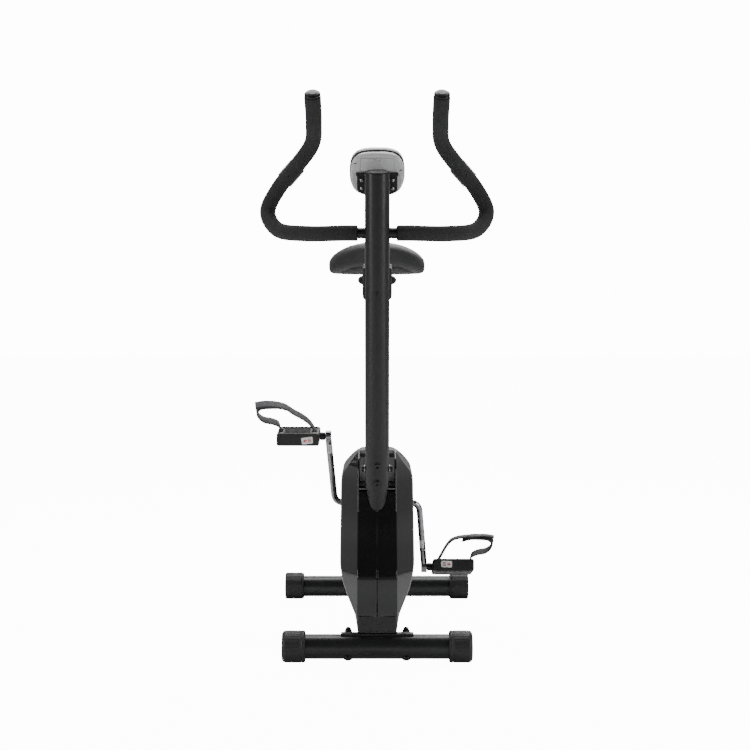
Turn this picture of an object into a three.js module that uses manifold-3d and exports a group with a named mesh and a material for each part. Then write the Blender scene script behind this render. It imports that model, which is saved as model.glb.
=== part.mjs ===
// Upright magnetic exercise bike.
// Millimetres, +Z up. The rider faces -Y and the rider's left is +X.
// Everything is drawn with the crank axle over y = 0, then moved so that the bike is centred on the origin.

import * as THREE from "three";
import { mergeVertices } from "three/addons/utils/BufferGeometryUtils.js";
import Module from "manifold-3d";

const wasm = await Module();
wasm.setup();

// ---------------------------------------------------------------- driving dimensions

const gap = 0.3;                    // between pieces that touch
const centreShift = -11.54;         // moves the crank axle so that the whole bike is centred

const footRadius = 25.5;            // both stabiliser tubes
const footWall = 2;
const frontFoot = { y: -310, z: 33, halfWidth: 196.5, capLength: 48, capRadius: 33 };
const rearFoot = { y: 340, z: 31, halfWidth: 227.5, capLength: 46, offset: 1 };
const footBoltX = 60;
const footBoltTilt = THREE.MathUtils.degToRad(35);
const saddlePlate = { halfWidth: 75, thickness: 4 };

const beam = { halfWidth: 20, bottom: 58, top: 98, front: -306, rear: 336, wall: 2 };
const postLean = THREE.MathUtils.degToRad(12);
const post = { radius: 25.4, wall: 2, footY: -220, footZ: 352, length: 667 };
const stub = { radius: 22.9, wall: 2 };
const seatTube = { radius: 25.4, wall: 2, footY: 140, footZ: 78, lean: Math.atan2(95, 420), length: 432 };

const axle = { y: 0, z: 288, shellRadius: 25, shellHalf: 34 };
const crankDim = { radius: 7.2, length: 165, cornerX: 95, eyeX: 108, bend: 22, eyeRadius: 13 };
const crankTilt = THREE.MathUtils.degToRad(19);
const flywheelDim = { y: -105, z: 210, radius: 95, half: 10, x: -8, driverRadius: 22 };
const pulleyDim = { radius: 95, half: 5, x: 43 };

const housingDim = { wall: 3, flat: 41, bottom: 101, top: 424, cheek: 55, tail: 45 };
const fairing = { half: 40.5, front: -320, rear: 60, bottom: 64.5 };

const barDim = { radius: 11.2, y: -292, z: 886, foamRadius: 16, foamStart: 40, capRadius: 16.6 };
const consoleDim = { y: -328, z: 1000, tilt: THREE.MathUtils.degToRad(30), half: 56, height: 98 };
const tensionZ = 776;
const saddleDim = { y: 276, z: 855, halfWidth: 120, halfLength: 132, above: 27, below: 42, droop: 26 };
const pedalDim = { near: 127, far: 221, height: 28, length: 100 };
const strapWidth = 22;

// ---------------------------------------------------------------- materials

function finish(color, roughness, metalness) {
  return new THREE.MeshStandardMaterial({ color, roughness, metalness });
}

const satinSteel = finish(0x18191b, 0.42, 0.5);
const glossPlastic = finish(0x0b0b0d, 0.14, 0);
const blackPlastic = finish(0x1b1b1d, 0.55, 0);
const chrome = finish(0xd8dade, 0.12, 1);
const blackBolt = finish(0x161618, 0.38, 0.8);
const zinc = finish(0xb4b7bb, 0.35, 0.9);
const castIron = finish(0x35373a, 0.55, 0.8);
const foam = finish(0x1e1e20, 0.92, 0);
const rubber = finish(0x3b3c3e, 0.75, 0);
const vinyl = finish(0x262628, 0.55, 0);
const silverPlastic = finish(0xa3a4a6, 0.42, 0.1);
const lensPlastic = finish(0x2b3530, 0.12, 0);

// ---------------------------------------------------------------- helpers

const model = new THREE.Group();

function add(name, geometry, material) {
  const mesh = new THREE.Mesh(geometry, material);
  mesh.name = name;
  model.add(mesh);
  return mesh;
}

function moved(geometry, x, y, z) {
  return geometry.translate(x, y, z);
}

function solid(geometry) {
  const bare = geometry.clone();
  for (const extra of ["normal", "uv"]) {
    bare.deleteAttribute(extra);
  }
  const merged = mergeVertices(bare, 1e-4);
  return new wasm.Manifold(new wasm.Mesh({
    numProp: 3,
    vertProperties: new Float32Array(merged.attributes.position.array),
    triVerts: new Uint32Array(merged.index.array),
  }));
}

function shape(body) {
  const mesh = body.getMesh();
  const geometry = new THREE.BufferGeometry();
  geometry.setAttribute("position", new THREE.BufferAttribute(mesh.vertProperties, 3));
  geometry.setIndex(new THREE.BufferAttribute(mesh.triVerts, 1));
  geometry.computeVertexNormals();
  return geometry;
}

function join(...geometries) {
  return shape(geometries.map(solid).reduce((whole, next) => whole.add(next)));
}

function cut(geometry, ...tools) {
  return shape(tools.map(solid).reduce((whole, next) => whole.subtract(next), solid(geometry)));
}

function common(geometry, other) {
  return shape(solid(geometry).intersect(solid(other)));
}

// A block between two corners.
function block(x0, x1, y0, y1, z0, z1) {
  const box = new THREE.BoxGeometry(x1 - x0, y1 - y0, z1 - z0);
  return moved(box, (x0 + x1) / 2, (y0 + y1) / 2, (z0 + z1) / 2);
}

// A round bar along X.
function rodX(radius, x0, x1, y, z, sides = 20) {
  const rod = new THREE.CylinderGeometry(radius, radius, x1 - x0, sides).rotateZ(Math.PI / 2);
  return moved(rod, (x0 + x1) / 2, y, z);
}

// A piece turned about the X axis from (distance along X, radius) pairs, closed on itself.
function turnedX(profile, y, z, sides = 24) {
  const points = profile.map(([along, radius]) => new THREE.Vector2(radius, along));
  points.push(points[0].clone());
  return moved(new THREE.LatheGeometry(points, sides).rotateZ(-Math.PI / 2), 0, y, z);
}

function ringX(outer, inner, x0, x1, y, z, sides = 24) {
  return turnedX([[x0, inner], [x0, outer], [x1, outer], [x1, inner]], y, z, sides);
}

// A direction in the Y-Z plane, leaning towards -Y by the given angle.
function leaning(angle) {
  return new THREE.Vector3(0, -Math.sin(angle), Math.cos(angle));
}

// A piece drawn around the Z axis, turned to run along a direction from a start point.
function aimed(geometry, start, direction) {
  const heading = direction.clone().normalize();
  const turn = new THREE.Quaternion().setFromUnitVectors(new THREE.Vector3(0, 0, 1), heading);
  return geometry.applyQuaternion(turn).translate(start.x, start.y, start.z);
}

// A round bar that starts at a point and runs along a direction.
function rod(radius, length, start, direction, sides = 20) {
  const bar = new THREE.CylinderGeometry(radius, radius, length, sides).rotateX(Math.PI / 2);
  return aimed(moved(bar, 0, 0, length / 2), start, direction);
}

// A piece turned about its own axis from (height, radius) pairs, closed on itself.
function turned(profile, start, direction, sides = 24) {
  const points = profile.map(([along, radius]) => new THREE.Vector2(radius, along));
  points.push(points[0].clone());
  return aimed(new THREE.LatheGeometry(points, sides).rotateX(Math.PI / 2), start, direction);
}

function pipe(outer, inner, length, start, direction, sides = 24) {
  return turned([[0, inner], [0, outer], [length, outer], [length, inner]], start, direction, sides);
}

function circle(radius, sides) {
  const outline = new THREE.Shape();
  for (let i = 0; i < sides; i += 1) {
    const turn = (i / sides) * 2 * Math.PI;
    outline[i === 0 ? "moveTo" : "lineTo"](radius * Math.cos(turn), radius * Math.sin(turn));
  }
  outline.closePath();
  return outline;
}

// A round bar along a curve.
function swept(curve, radius, steps, sides = 12) {
  return new THREE.ExtrudeGeometry(circle(radius, sides), { steps, extrudePath: curve, bevelEnabled: false });
}

// A flat outline in the Y-Z plane, given thickness along X.
function plateYZ(points, x0, x1) {
  const outline = new THREE.Shape(points.map(([y, z]) => new THREE.Vector2(y, z)));
  const plate = new THREE.ExtrudeGeometry(outline, { depth: x1 - x0, bevelEnabled: false });
  plate.applyMatrix4(new THREE.Matrix4().makeBasis(
    new THREE.Vector3(0, 1, 0), new THREE.Vector3(0, 0, 1), new THREE.Vector3(1, 0, 0)));
  return moved(plate, x0, 0, 0);
}

// A flat outline in the X-Z plane, given thickness along Y.
function plateXZ(outline, y0, y1) {
  const plate = new THREE.ExtrudeGeometry(outline, { depth: y1 - y0, bevelEnabled: false, curveSegments: 6 });
  return moved(plate.rotateX(Math.PI / 2), 0, y1, 0);
}

// Straight lines between known points: the value at a given height.
function between(points, z) {
  const last = points.length - 1;
  if (z <= points[0][0]) {
    return points[0][1];
  }
  for (let i = 0; i < last; i += 1) {
    const [z0, v0] = points[i];
    const [z1, v1] = points[i + 1];
    if (z <= z1) {
      return v0 + ((v1 - v0) * (z - z0)) / (z1 - z0);
    }
  }
  return points[last][1];
}

// A closed skin over rings of equal point count, with flat ends; rings run anticlockwise seen from above.
function loft(rings) {
  const count = rings[0].length;
  const positions = rings.flat().flat();
  const index = [];
  for (let r = 0; r + 1 < rings.length; r += 1) {
    for (let i = 0; i < count; i += 1) {
      const a = r * count + i;
      const b = r * count + ((i + 1) % count);
      index.push(a, b, b + count, a, b + count, a + count);
    }
  }
  const top = (rings.length - 1) * count;
  for (let i = 1; i + 1 < count; i += 1) {
    index.push(0, i + 1, i);
    index.push(top, top + i, top + i + 1);
  }
  const geometry = new THREE.BufferGeometry();
  geometry.setAttribute("position", new THREE.Float32BufferAttribute(positions, 3));
  geometry.setIndex(index);
  return geometry;
}

function mirroredX(geometry) {
  const flipped = geometry.clone();
  const position = flipped.attributes.position;
  for (let i = 0; i < position.count; i += 1) {
    position.setX(i, -position.getX(i));
  }
  const index = flipped.index ? flipped.index.array : [...Array(position.count).keys()];
  const turnedFaces = [];
  for (let i = 0; i < index.length; i += 3) {
    turnedFaces.push(index[i], index[i + 2], index[i + 1]);
  }
  flipped.setIndex(turnedFaces);
  return flipped;
}

// The same piece on the rider's left (+X) and right (-X).
function pair(name, geometry, material) {
  add(`${name}_left`, geometry, material);
  add(`${name}_right`, mirroredX(geometry), material);
}

// ---------------------------------------------------------------- places shared by several pieces

const postAxis = leaning(postLean);
const postFoot = new THREE.Vector3(0, post.footY, post.footZ);

function onPost(z) {
  return postFoot.clone().addScaledVector(postAxis, (z - post.footZ) / postAxis.z);
}

const seatAxis = leaning(-seatTube.lean);
const seatFoot = new THREE.Vector3(0, seatTube.footY, seatTube.footZ);

function alongSeat(distance) {
  return seatFoot.clone().addScaledVector(seatAxis, distance);
}

const postFront = new THREE.Vector3(0, -Math.cos(postLean), -Math.sin(postLean));
const sideways = new THREE.Vector3(1, 0, 0);
const footBoltAxis = new THREE.Vector3(0, Math.sin(footBoltTilt), Math.cos(footBoltTilt));

// Bolts through the post into the stub: two on the front and one on each side.
const postBoltPlaces = [
  { name: "front_upper", z: 405, out: postFront },
  { name: "front_lower", z: 368, out: postFront },
  { name: "side_left", z: 392, out: sideways },
  { name: "side_right", z: 392, out: sideways.clone().negate() },
];

// ---------------------------------------------------------------- frame

// The stub runs straight up the post and bends forward below it to meet the beam.
function stubCurve() {
  const straight = [440, 400, 360, 322].map(onPost);
  const bend = [[-214, 262], [-236, 204], [-256, 150], [-262, 92]];
  return new THREE.CatmullRomCurve3([...straight, ...bend.map(([y, z]) => new THREE.Vector3(0, y, z))]);
}

function curvedFoot(foot) {
  const arc = [];
  const steps = 8;
  for (let i = 0; i <= steps; i += 1) {
    const turn = THREE.MathUtils.degToRad(20 + (90 * i) / steps);
    arc.push([foot.y + Math.cos(turn), foot.z + Math.sin(turn), turn]);
  }
  const inner = footRadius + gap;
  const outer = inner + saddlePlate.thickness;
  const place = (turn, radius) => [foot.y + radius * Math.cos(turn), foot.z + radius * Math.sin(turn)];
  const outline = [
    ...arc.map(([, , turn]) => place(turn, outer)),
    ...arc.map(([, , turn]) => place(turn, inner)).reverse(),
  ];
  return plateYZ(outline, -saddlePlate.halfWidth, saddlePlate.halfWidth);
}

function footBoltHole(foot, x, radius) {
  const start = new THREE.Vector3(x, foot.y, foot.z).addScaledVector(footBoltAxis, -40);
  return rod(radius, 80, start, footBoltAxis, 8);
}

function mainFrame() {
  const cradle = [[-160, 92], [50, 92], [42, 200], [24, 296], [0, 316], [-36, 322], [-62, 312], [-68, 262],
    [-122, 232], [-130, 196], [-160, 120]];
  const strutStart = new THREE.Vector3(0, 40, 92);
  const strutEnd = new THREE.Vector3(0, 4, 272);
  const strutAxis = strutEnd.clone().sub(strutStart);
  let frame = join(
    block(-beam.halfWidth, beam.halfWidth, beam.front, beam.rear, beam.bottom, beam.top),
    curvedFoot(frontFoot),
    curvedFoot(rearFoot),
    swept(stubCurve(), stub.radius, 12, 14),
    rodX(axle.shellRadius, -axle.shellHalf, axle.shellHalf, axle.y, axle.z, 20),
    plateYZ(cradle, -30, -25),
    block(-26, -18, -158, 48, 76, 96),
    rod(16, strutAxis.length(), strutStart, strutAxis, 12),
    rodX(4, -26, 6, -49, 307, 12),
    rod(seatTube.radius, seatTube.length, seatFoot, seatAxis, 20),
    plateYZ([[178, 90], [262, 90], [262, 104], [206, 176], [192, 176]], -2.5, 2.5),
  );
  const boltHoles = [-footBoltX, footBoltX].flatMap((x) => [
    footBoltHole(frontFoot, x, 4.6),
    footBoltHole(rearFoot, x, 4.6),
  ]);
  const inside = beam.wall;
  frame = cut(
    frame,
    block(-beam.halfWidth + inside, beam.halfWidth - inside, beam.front - 9, beam.rear + 9,
      beam.bottom + inside, beam.top - inside),
    rodX(footRadius + gap, -240, 240, frontFoot.y, frontFoot.z, 24),
    rodX(footRadius + gap, -240, 240, rearFoot.y, rearFoot.z, 24),
    rodX(axle.shellRadius - 3.5, -50, 50, axle.y, axle.z, 20),
    rodX(6.4, -40, 0, flywheelDim.y, flywheelDim.z, 12),
    rod(stub.radius - stub.wall, 180, onPost(292), postAxis, 14),
    rod(seatTube.radius - seatTube.wall, seatTube.length, alongSeat(24), seatAxis, 20),
    rod(5.2, 40, alongSeat(400), new THREE.Vector3(0, 1, 0), 12),
    rod(6, 40, new THREE.Vector3(0, -208, 302), new THREE.Vector3(0, 1, 0), 10),
    ...postBoltPlaces.map(({ z, out }) => rod(4.7, 40, onPost(z), out, 8)),
    ...boltHoles,
  );
  add("main_frame", frame, satinSteel);
}

function stabiliser(name, foot) {
  const half = foot.halfWidth - 6;
  const tube = ringX(footRadius, footRadius - footWall, -half, half, foot.y, foot.z, 20);
  add(name, cut(tube, footBoltHole(foot, -footBoltX, 4.6), footBoltHole(foot, footBoltX, 4.6)), satinSteel);
}

// The front caps are round with a bead at the inner rim.
function frontCaps() {
  const { halfWidth, capLength, capRadius, y, z } = frontFoot;
  const mouth = halfWidth - capLength;
  const cap = turnedX([
    [mouth, footRadius + 0.8],
    [mouth, capRadius - 1.5],
    [mouth + 3, capRadius],
    [halfWidth - 4, capRadius],
    [halfWidth, capRadius - 4],
    [halfWidth, 0],
    [halfWidth - 5, 0],
    [halfWidth - 5, footRadius + 0.8],
  ], y, z, 20);
  pair("front_cap", cap, blackPlastic);
}

// The rear caps are eccentric, so that turning them levels the bike.
function rearCaps() {
  const { halfWidth, capLength, y, z } = rearFoot;
  const mouth = halfWidth - capLength;
  const sides = 16;
  const flatReach = z + rearFoot.offset;
  const outline = [];
  for (let i = 0; i < sides; i += 1) {
    const turn = ((i + 0.5) / sides) * 2 * Math.PI;
    const reach = flatReach / Math.cos(Math.PI / sides);
    outline.push([y + reach * Math.cos(turn), flatReach + reach * Math.sin(turn)]);
  }
  const cap = cut(
    plateYZ(outline, mouth, halfWidth),
    rodX(footRadius + 0.8, mouth - 5, halfWidth - 5, y, z, 16),
  );
  pair("rear_cap", cap, blackPlastic);
}

// Carriage bolt up through the foot tube and the curved plate, with a domed nut on top.
function footBolts() {
  const reach = footRadius + gap + saddlePlate.thickness;
  const start = new THREE.Vector3(footBoltX, frontFoot.y, frontFoot.z);
  const bolt = turned([
    [-footRadius - 4.2, 0],
    [-footRadius - 3, 5],
    [-footRadius - gap, 7.5],
    [-footRadius - gap, 4],
    [reach + gap, 4],
    [reach + gap, 7],
    [reach + 7, 6.2],
    [reach + 11, 4],
    [reach + 12.5, 0],
  ], start, footBoltAxis, 8);
  pair("front_foot_bolt", bolt, blackBolt);
}

// ---------------------------------------------------------------- handlebar post

function handlebarPost() {
  const bracketOutline = new THREE.Shape([[-34, -41], [34, -41], [43, -33], [43, 7], [-43, 7], [-43, -33]]
    .map(([x, up]) => new THREE.Vector2(x, up)));
  const bracket = faceSolid(bracketOutline, 0.4, 3.6, 0);
  const web = plateYZ([[-340, 968], [-306.5, 965.5], [-329.5, 1005.5], [-345, 1002]], -12, 12);
  const saddle = block(-21, 21, -330, -293.5, 864, 908);
  const outer = join(
    rod(post.radius, post.length, postFoot, postAxis, 20),
    bracket,
    web,
    saddle,
  );
  const hollow = cut(
    outer,
    rod(post.radius - post.wall, post.length + 20, onPost(342), postAxis, 20),
    rodX(barDim.radius + 0.5, -60, 60, barDim.y, barDim.z, 24),
    ...postBoltPlaces.map(({ z, out }) => rod(4.7, 40, onPost(z), out, 8)),
    rod(3.4, 60, onPost(tensionZ - 9).addScaledVector(postFront, 30), postFront.clone().negate(), 10),
  );
  add("handlebar_post", hollow, satinSteel);

  const top = postFoot.clone().addScaledVector(postAxis, post.length);
  const plug = turned([
    [-14, 0],
    [-14, post.radius - post.wall - gap],
    [gap, post.radius - post.wall - gap],
    [gap, post.radius],
    [4, post.radius - 1.5],
    [8, post.radius - 8],
    [9.5, 0],
  ], top, postAxis, 18);
  add("post_cap", cut(plug, aimed(block(-13, 13, 18, 40, -20, 20), top, postAxis)), blackPlastic);

  for (const { name, z, out } of postBoltPlaces) {
    const bolt = turned([
      [18, 0],
      [18, 4],
      [post.radius + gap, 4],
      [post.radius + gap, 8.5],
      [post.radius + 2, 8],
      [post.radius + 2, 6.5],
      [post.radius + 6.5, 5],
      [post.radius + 7.2, 0],
    ], onPost(z), out, 8);
    add(`post_bolt_${name}`, bolt, blackBolt);
  }
}

// ---------------------------------------------------------------- housing

const housingHalf = [[101, 47], [130, 60], [165, 73], [205, 78], [345, 78], [377, 74], [424, 41]];
const housingFront = [[101, -322], [170, -335], [230, -300], [305, -233], [343, -222], [400, -196],
  [424, -165]];
const housingBack = [[101, 72], [140, 98], [205, 126], [300, 132], [360, 112], [400, 40], [424, -80]];

function housingRings(inset) {
  const levels = [101, 130, 170, 205, 230, 305, 343, 377, 400, 424];
  return levels.map((level) => {
    const half = between(housingHalf, level) - inset;
    const front = between(housingFront, level) + inset;
    const back = between(housingBack, level) - inset;
    const flat = Math.min(housingDim.flat, half - 1);
    const tail = Math.min(36, half - 2);
    const depth = Math.min(housingDim.cheek, (half - flat) * 1.5 + 4);
    const z = Math.min(Math.max(level, housingDim.bottom + inset), housingDim.top - inset);
    const rightSide = [
      [0, front - 3, z],
      [flat, front, z],
      [half, front + depth, z],
      [half, back - housingDim.tail, z],
      [tail, back, z],
    ];
    const leftSide = rightSide.slice(1).map(([x, y, height]) => [-x, y, height]).reverse();
    return [...rightSide, ...leftSide];
  });
}

function housing() {
  const wall = housingDim.wall;
  const recess = (grow) => plateYZ([
    [-300, 343 - grow],
    [-188 + grow, 343 - grow],
    [-164 + grow, 412],
    [-164 + grow, 450],
    [-300, 450],
  ], -38 - grow, 38 + grow);
  const outer = join(
    loft(housingRings(0)),
    block(-fairing.half, fairing.half, fairing.front, fairing.rear, fairing.bottom, housingDim.bottom + 2),
  );
  const cavity = cut(loft(housingRings(wall)), recess(wall));
  const stubClearance = swept(stubCurve(), stub.radius + 1.6, 12, 20);
  const shell = cut(
    outer,
    cavity,
    recess(0),
    stubClearance,
    block(-fairing.half + wall, fairing.half - wall, fairing.front + wall, fairing.rear + 8, 50,
      housingDim.bottom + 5),
    rodX(14, -100, 100, axle.y, axle.z, 24),
    ...[-1, 1].map((side) => rodX(43, side * 77 - 1.5, side * 77 + 1.5, axle.y, axle.z, 20)),
  );
  const half = common(shell, block(gap / 2, 100, -400, 200, 0, 500));
  pair("housing", half, glossPlastic);

  const cover = turnedX([[75.8, 12.5], [75.8, 42], [78.2, 42], [79.4, 38], [79.4, 12.5]], axle.y, axle.z, 20);
  pair("crank_cover", cover, blackPlastic);
}

// ---------------------------------------------------------------- drive

function crankPoint(side, distance, x) {
  return new THREE.Vector3(
    side * x,
    axle.y + side * distance * Math.sin(crankTilt),
    axle.z - side * distance * Math.cos(crankTilt),
  );
}

function crank() {
  const path = new THREE.CurvePath();
  const sides = [1, -1].map((side) => {
    const eye = crankPoint(side, crankDim.length - 6, crankDim.eyeX);
    const corner = crankPoint(side, 0, crankDim.cornerX);
    const down = eye.clone().sub(corner).normalize().multiplyScalar(crankDim.bend).add(corner);
    const inward = corner.clone().add(new THREE.Vector3(-side * crankDim.bend, 0, 0));
    return { eye, corner, down, inward };
  });
  const [left, right] = sides;
  path.add(new THREE.LineCurve3(left.eye, left.down));
  path.add(new THREE.QuadraticBezierCurve3(left.down, left.corner, left.inward));
  path.add(new THREE.LineCurve3(left.inward, right.inward));
  path.add(new THREE.QuadraticBezierCurve3(right.inward, right.corner, right.down));
  path.add(new THREE.LineCurve3(right.down, right.eye));
  const eyes = [1, -1].map((side) => {
    const centre = crankPoint(side, crankDim.length, crankDim.eyeX);
    return rodX(crankDim.eyeRadius, centre.x - 6.5, centre.x + 6.5, centre.y, centre.z, 16);
  });
  const holes = [1, -1].map((side) => {
    const centre = crankPoint(side, crankDim.length, crankDim.eyeX);
    return rodX(7.2, centre.x - 10, centre.x + 10, centre.y, centre.z, 12);
  });
  add("crank", cut(join(swept(path, crankDim.radius, 32, 8), ...eyes), ...holes), chrome);

  pair("crank_bearing", ringX(21, 8.2, 26, 33.5, axle.y, axle.z, 16), zinc);

  const rim = pulleyDim.radius;
  const disc = turnedX([
    [-9, 8],
    [-9, 17],
    [-2, 17],
    [-2, rim - 10],
    [-pulleyDim.half, rim - 10],
    [-pulleyDim.half, rim],
    [pulleyDim.half, rim],
    [pulleyDim.half, rim - 10],
    [2, rim - 10],
    [2, 17],
    [9, 17],
    [9, 8],
  ], 0, 0, 24);
  const holesInDisc = [0, 1, 2, 3, 4].map((i) => {
    const turn = (i / 5) * 2 * Math.PI;
    return rodX(16, -6, 6, 50 * Math.cos(turn), 50 * Math.sin(turn), 8);
  });
  add("drive_pulley", moved(cut(disc, ...holesInDisc), pulleyDim.x + 2, axle.y, axle.z), blackPlastic);
}

function flywheel() {
  const { y, z, radius, half, x, driverRadius } = flywheelDim;
  const driverX = pulleyDim.x + 2 - x;
  const wheel = turnedX([
    [-14, 6.8],
    [-14, 16],
    [-3, 16],
    [-3, radius - 22],
    [-half, radius - 22],
    [-half, radius],
    [half, radius],
    [half, radius - 22],
    [3, radius - 22],
    [3, 16],
    [driverX - 7, 16],
    [driverX - 7, driverRadius + 2],
    [driverX - 5, driverRadius + 2],
    [driverX - 5, driverRadius],
    [driverX + 5, driverRadius],
    [driverX + 5, 6.8],
  ], y, z, 24).translate(x, 0, 0);
  add("flywheel", wheel, castIron);

  const pin = turnedX([[-38, 0], [-38, 10], [-30.5, 10], [-30.5, 6], [54, 6], [54, 0]], y, z, 16);
  add("flywheel_axle", pin, zinc);
}

// The belt: an open loop round both pulleys with straight runs between the tangent points.
function driveBelt() {
  const big = { y: axle.y, z: axle.z, r: pulleyDim.radius };
  const small = { y: flywheelDim.y, z: flywheelDim.z, r: flywheelDim.driverRadius };
  const distance = Math.hypot(small.y - big.y, small.z - big.z);
  const heading = Math.atan2(small.z - big.z, small.y - big.y);
  const spread = Math.acos((big.r - small.r) / distance);
  const loop = (rise) => {
    const points = [];
    const arc = (wheel, from, to, steps) => {
      for (let i = 0; i <= steps; i += 1) {
        const turn = from + ((to - from) * i) / steps;
        const reach = wheel.r + rise;
        points.push(new THREE.Vector2(wheel.y + reach * Math.cos(turn), wheel.z + reach * Math.sin(turn)));
      }
    };
    arc(small, heading - spread, heading + spread, 8);
    arc(big, heading + spread, heading - spread + 2 * Math.PI, 28);
    return points;
  };
  const outline = new THREE.Shape(loop(2.6));
  outline.holes.push(new THREE.Path(loop(0.6).reverse()));
  const band = new THREE.ExtrudeGeometry(outline, { depth: 8, bevelEnabled: false });
  band.applyMatrix4(new THREE.Matrix4().makeBasis(
    new THREE.Vector3(0, 1, 0), new THREE.Vector3(0, 0, 1), new THREE.Vector3(1, 0, 0)));
  add("drive_belt", moved(band, pulleyDim.x + 2 - 4, 0, 0), rubber);
}

// Magnet carrier that hangs over the flywheel rim and swings about a pin on the frame.
function magnetBracket() {
  const { y, z, radius, x } = flywheelDim;
  const place = (turn, reach) => {
    const angle = THREE.MathUtils.degToRad(turn);
    return [y + reach * Math.cos(angle), z + reach * Math.sin(angle)];
  };
  const turns = [56, 66, 76, 86, 96, 106, 116, 124];
  const outline = [
    ...turns.map((turn) => place(turn, radius + 4)),
    ...turns.map((turn) => place(turn, radius + 11)).reverse(),
  ].reverse();
  const eye = { y: -49, z: 307 };
  const arm = join(plateYZ(outline, x - 11, x + 11), rodX(8.5, x - 11, x + 11, eye.y, eye.z, 16));
  const trimmed = cut(arm, rodX(4.5, -40, 40, eye.y, eye.z, 14));
  add("magnet_bracket", trimmed, zinc);
}

function pedal(side, word, pitch, topBand) {
  const centre = crankPoint(side, crankDim.length, crankDim.eyeX);
  const turn = THREE.MathUtils.degToRad(pitch);
  const group = new THREE.Group();
  group.position.copy(centre);
  group.rotation.x = turn;
  model.add(group);

  const near = pedalDim.near - crankDim.eyeX;
  const far = pedalDim.far - crankDim.eyeX;
  const flip = (geometry) => (side > 0 ? geometry : mirroredX(geometry));
  const put = (name, geometry, material) => {
    const mesh = new THREE.Mesh(flip(geometry), material);
    mesh.name = `${name}_${word}`;
    group.add(mesh);
  };

  const corner = 5;
  const outline = new THREE.Shape();
  const h = pedalDim.height / 2;
  outline.moveTo(near, corner - h);
  outline.lineTo(near + corner, -h);
  outline.lineTo(far - corner, -h);
  outline.lineTo(far, corner - h);
  outline.lineTo(far, h - corner);
  outline.lineTo(far - corner, h);
  outline.lineTo(near + corner, h);
  outline.lineTo(near, h - corner);
  outline.closePath();
  const body = plateXZ(outline, -pedalDim.length / 2, pedalDim.length / 2);
  const slots = [block(near + 5, near + 18, -13, 13, 2, h + 5), block(far - 12, far - 3, -13, 13, 2, h + 5)];
  const tray = block(near + 5, far - 5, 5 - pedalDim.length / 2, pedalDim.length / 2 - 5, h - 3, h + 5);
  put("pedal", cut(body, rodX(8, near - 5, far - 14, 0, 0, 12), tray, ...slots), blackPlastic);

  const spindle = turnedX([
    [-6.5, 0],
    [-6.5, 6.4],
    [7.8, 6.4],
    [7.8, 9],
    [near - 1, 9],
    [near - 1, 7.2],
    [far - 16, 7.2],
    [far - 16, 0],
  ], 0, 0, 10);
  const spindleMesh = new THREE.Mesh(flip(spindle), blackBolt);
  spindleMesh.name = `pedal_spindle_${word}`;
  spindleMesh.position.copy(centre);
  model.add(spindleMesh);

  const middle = (near + far) / 2;
  const curl = [[40, 6], [44, 26], [58, 33], [77, 37], [88, 45], [93, 54], [91, 61], [84, 66.4], [62, 68.6],
    [42, 68.2], [24, 63.5]];
  const band = (points) => {
    const path = new THREE.SplineCurve(points.map(([x, z]) => new THREE.Vector2(middle + x, z)));
    const count = points.length * 2;
    const edge = [];
    for (let i = 0; i <= count; i += 1) {
      const at = path.getPoint(i / count);
      const along = path.getTangent(i / count);
      edge.push([at, new THREE.Vector2(-along.y, along.x).multiplyScalar(1.4)]);
    }
    const ring = [
      ...edge.map(([at, out]) => at.clone().add(out)),
      ...edge.map(([at, out]) => at.clone().sub(out)).reverse(),
    ];
    return plateXZ(new THREE.Shape(ring), -strapWidth / 2, strapWidth / 2);
  };
  put("pedal_strap", join(band(topBand), band(curl)), rubber);
}

// ---------------------------------------------------------------- handlebar

const barPoints = [[0, 0, 0], [35, 0, 0], [68, 1, 0], [150, 30, 0], [212, 87, 12], [234, 127, 52],
  [211, 122, 99], [171, 92, 144], [136, 57, 189], [131, 20, 226], [132, -30, 286]];

function barCurve() {
  const right = barPoints.map(([x, back, up]) => new THREE.Vector3(x, barDim.y + back, barDim.z + up));
  const left = right.slice(1).map((point) => new THREE.Vector3(-point.x, point.y, point.z)).reverse();
  return new THREE.CatmullRomCurve3([...left, ...right], false, "centripetal");
}

// A stretch of the bar, found by its share of the bar's length.
function barStretch(from, to, steps) {
  const whole = barCurve();
  const points = [];
  for (let i = 0; i <= steps; i += 1) {
    points.push(whole.getPointAt(from + ((to - from) * i) / steps));
  }
  return new THREE.CatmullRomCurve3(points);
}

function handlebar() {
  const whole = barCurve();
  const tip = 0.008;
  add("handlebar", swept(barStretch(tip, 1 - tip, 72), barDim.radius, 64, 8), satinSteel);

  const foamFrom = 0.5 + barDim.foamStart / whole.getLength();
  const foamTo = 1 - tip - 0.001;
  const route = barStretch(foamFrom, foamTo, 26);
  const bore = swept(barStretch(foamFrom - 0.01, 1, 32), 13.4, 30, 7);
  const grip = cut(swept(route, barDim.foamRadius, 24, 9), bore);
  pair("foam_grip", grip, foam);

  const end = whole.getPointAt(1 - tip);
  const out = whole.getTangentAt(1 - tip);
  const capProfile = [[gap, 0], [gap, barDim.capRadius], [4, barDim.capRadius], [7, 11], [8, 0]];
  pair("bar_end_cap", turned(capProfile, end, out, 14), blackPlastic);

  const sensorAt = 0.5 + 402 / whole.getLength();
  const middle = whole.getPointAt(sensorAt);
  const along = whole.getTangentAt(sensorAt);
  const half = 24;
  const sleeve = pipe(19.2, 17.8, 2 * half, middle.clone().addScaledVector(along, -half), along, 24);
  const riderSide = block(middle.x - 60, middle.x + 60, middle.y + 1, middle.y + 60, middle.z - 60, middle.z + 60);
  pair("pulse_sensor", common(sleeve, riderSide), chrome);
}

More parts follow.
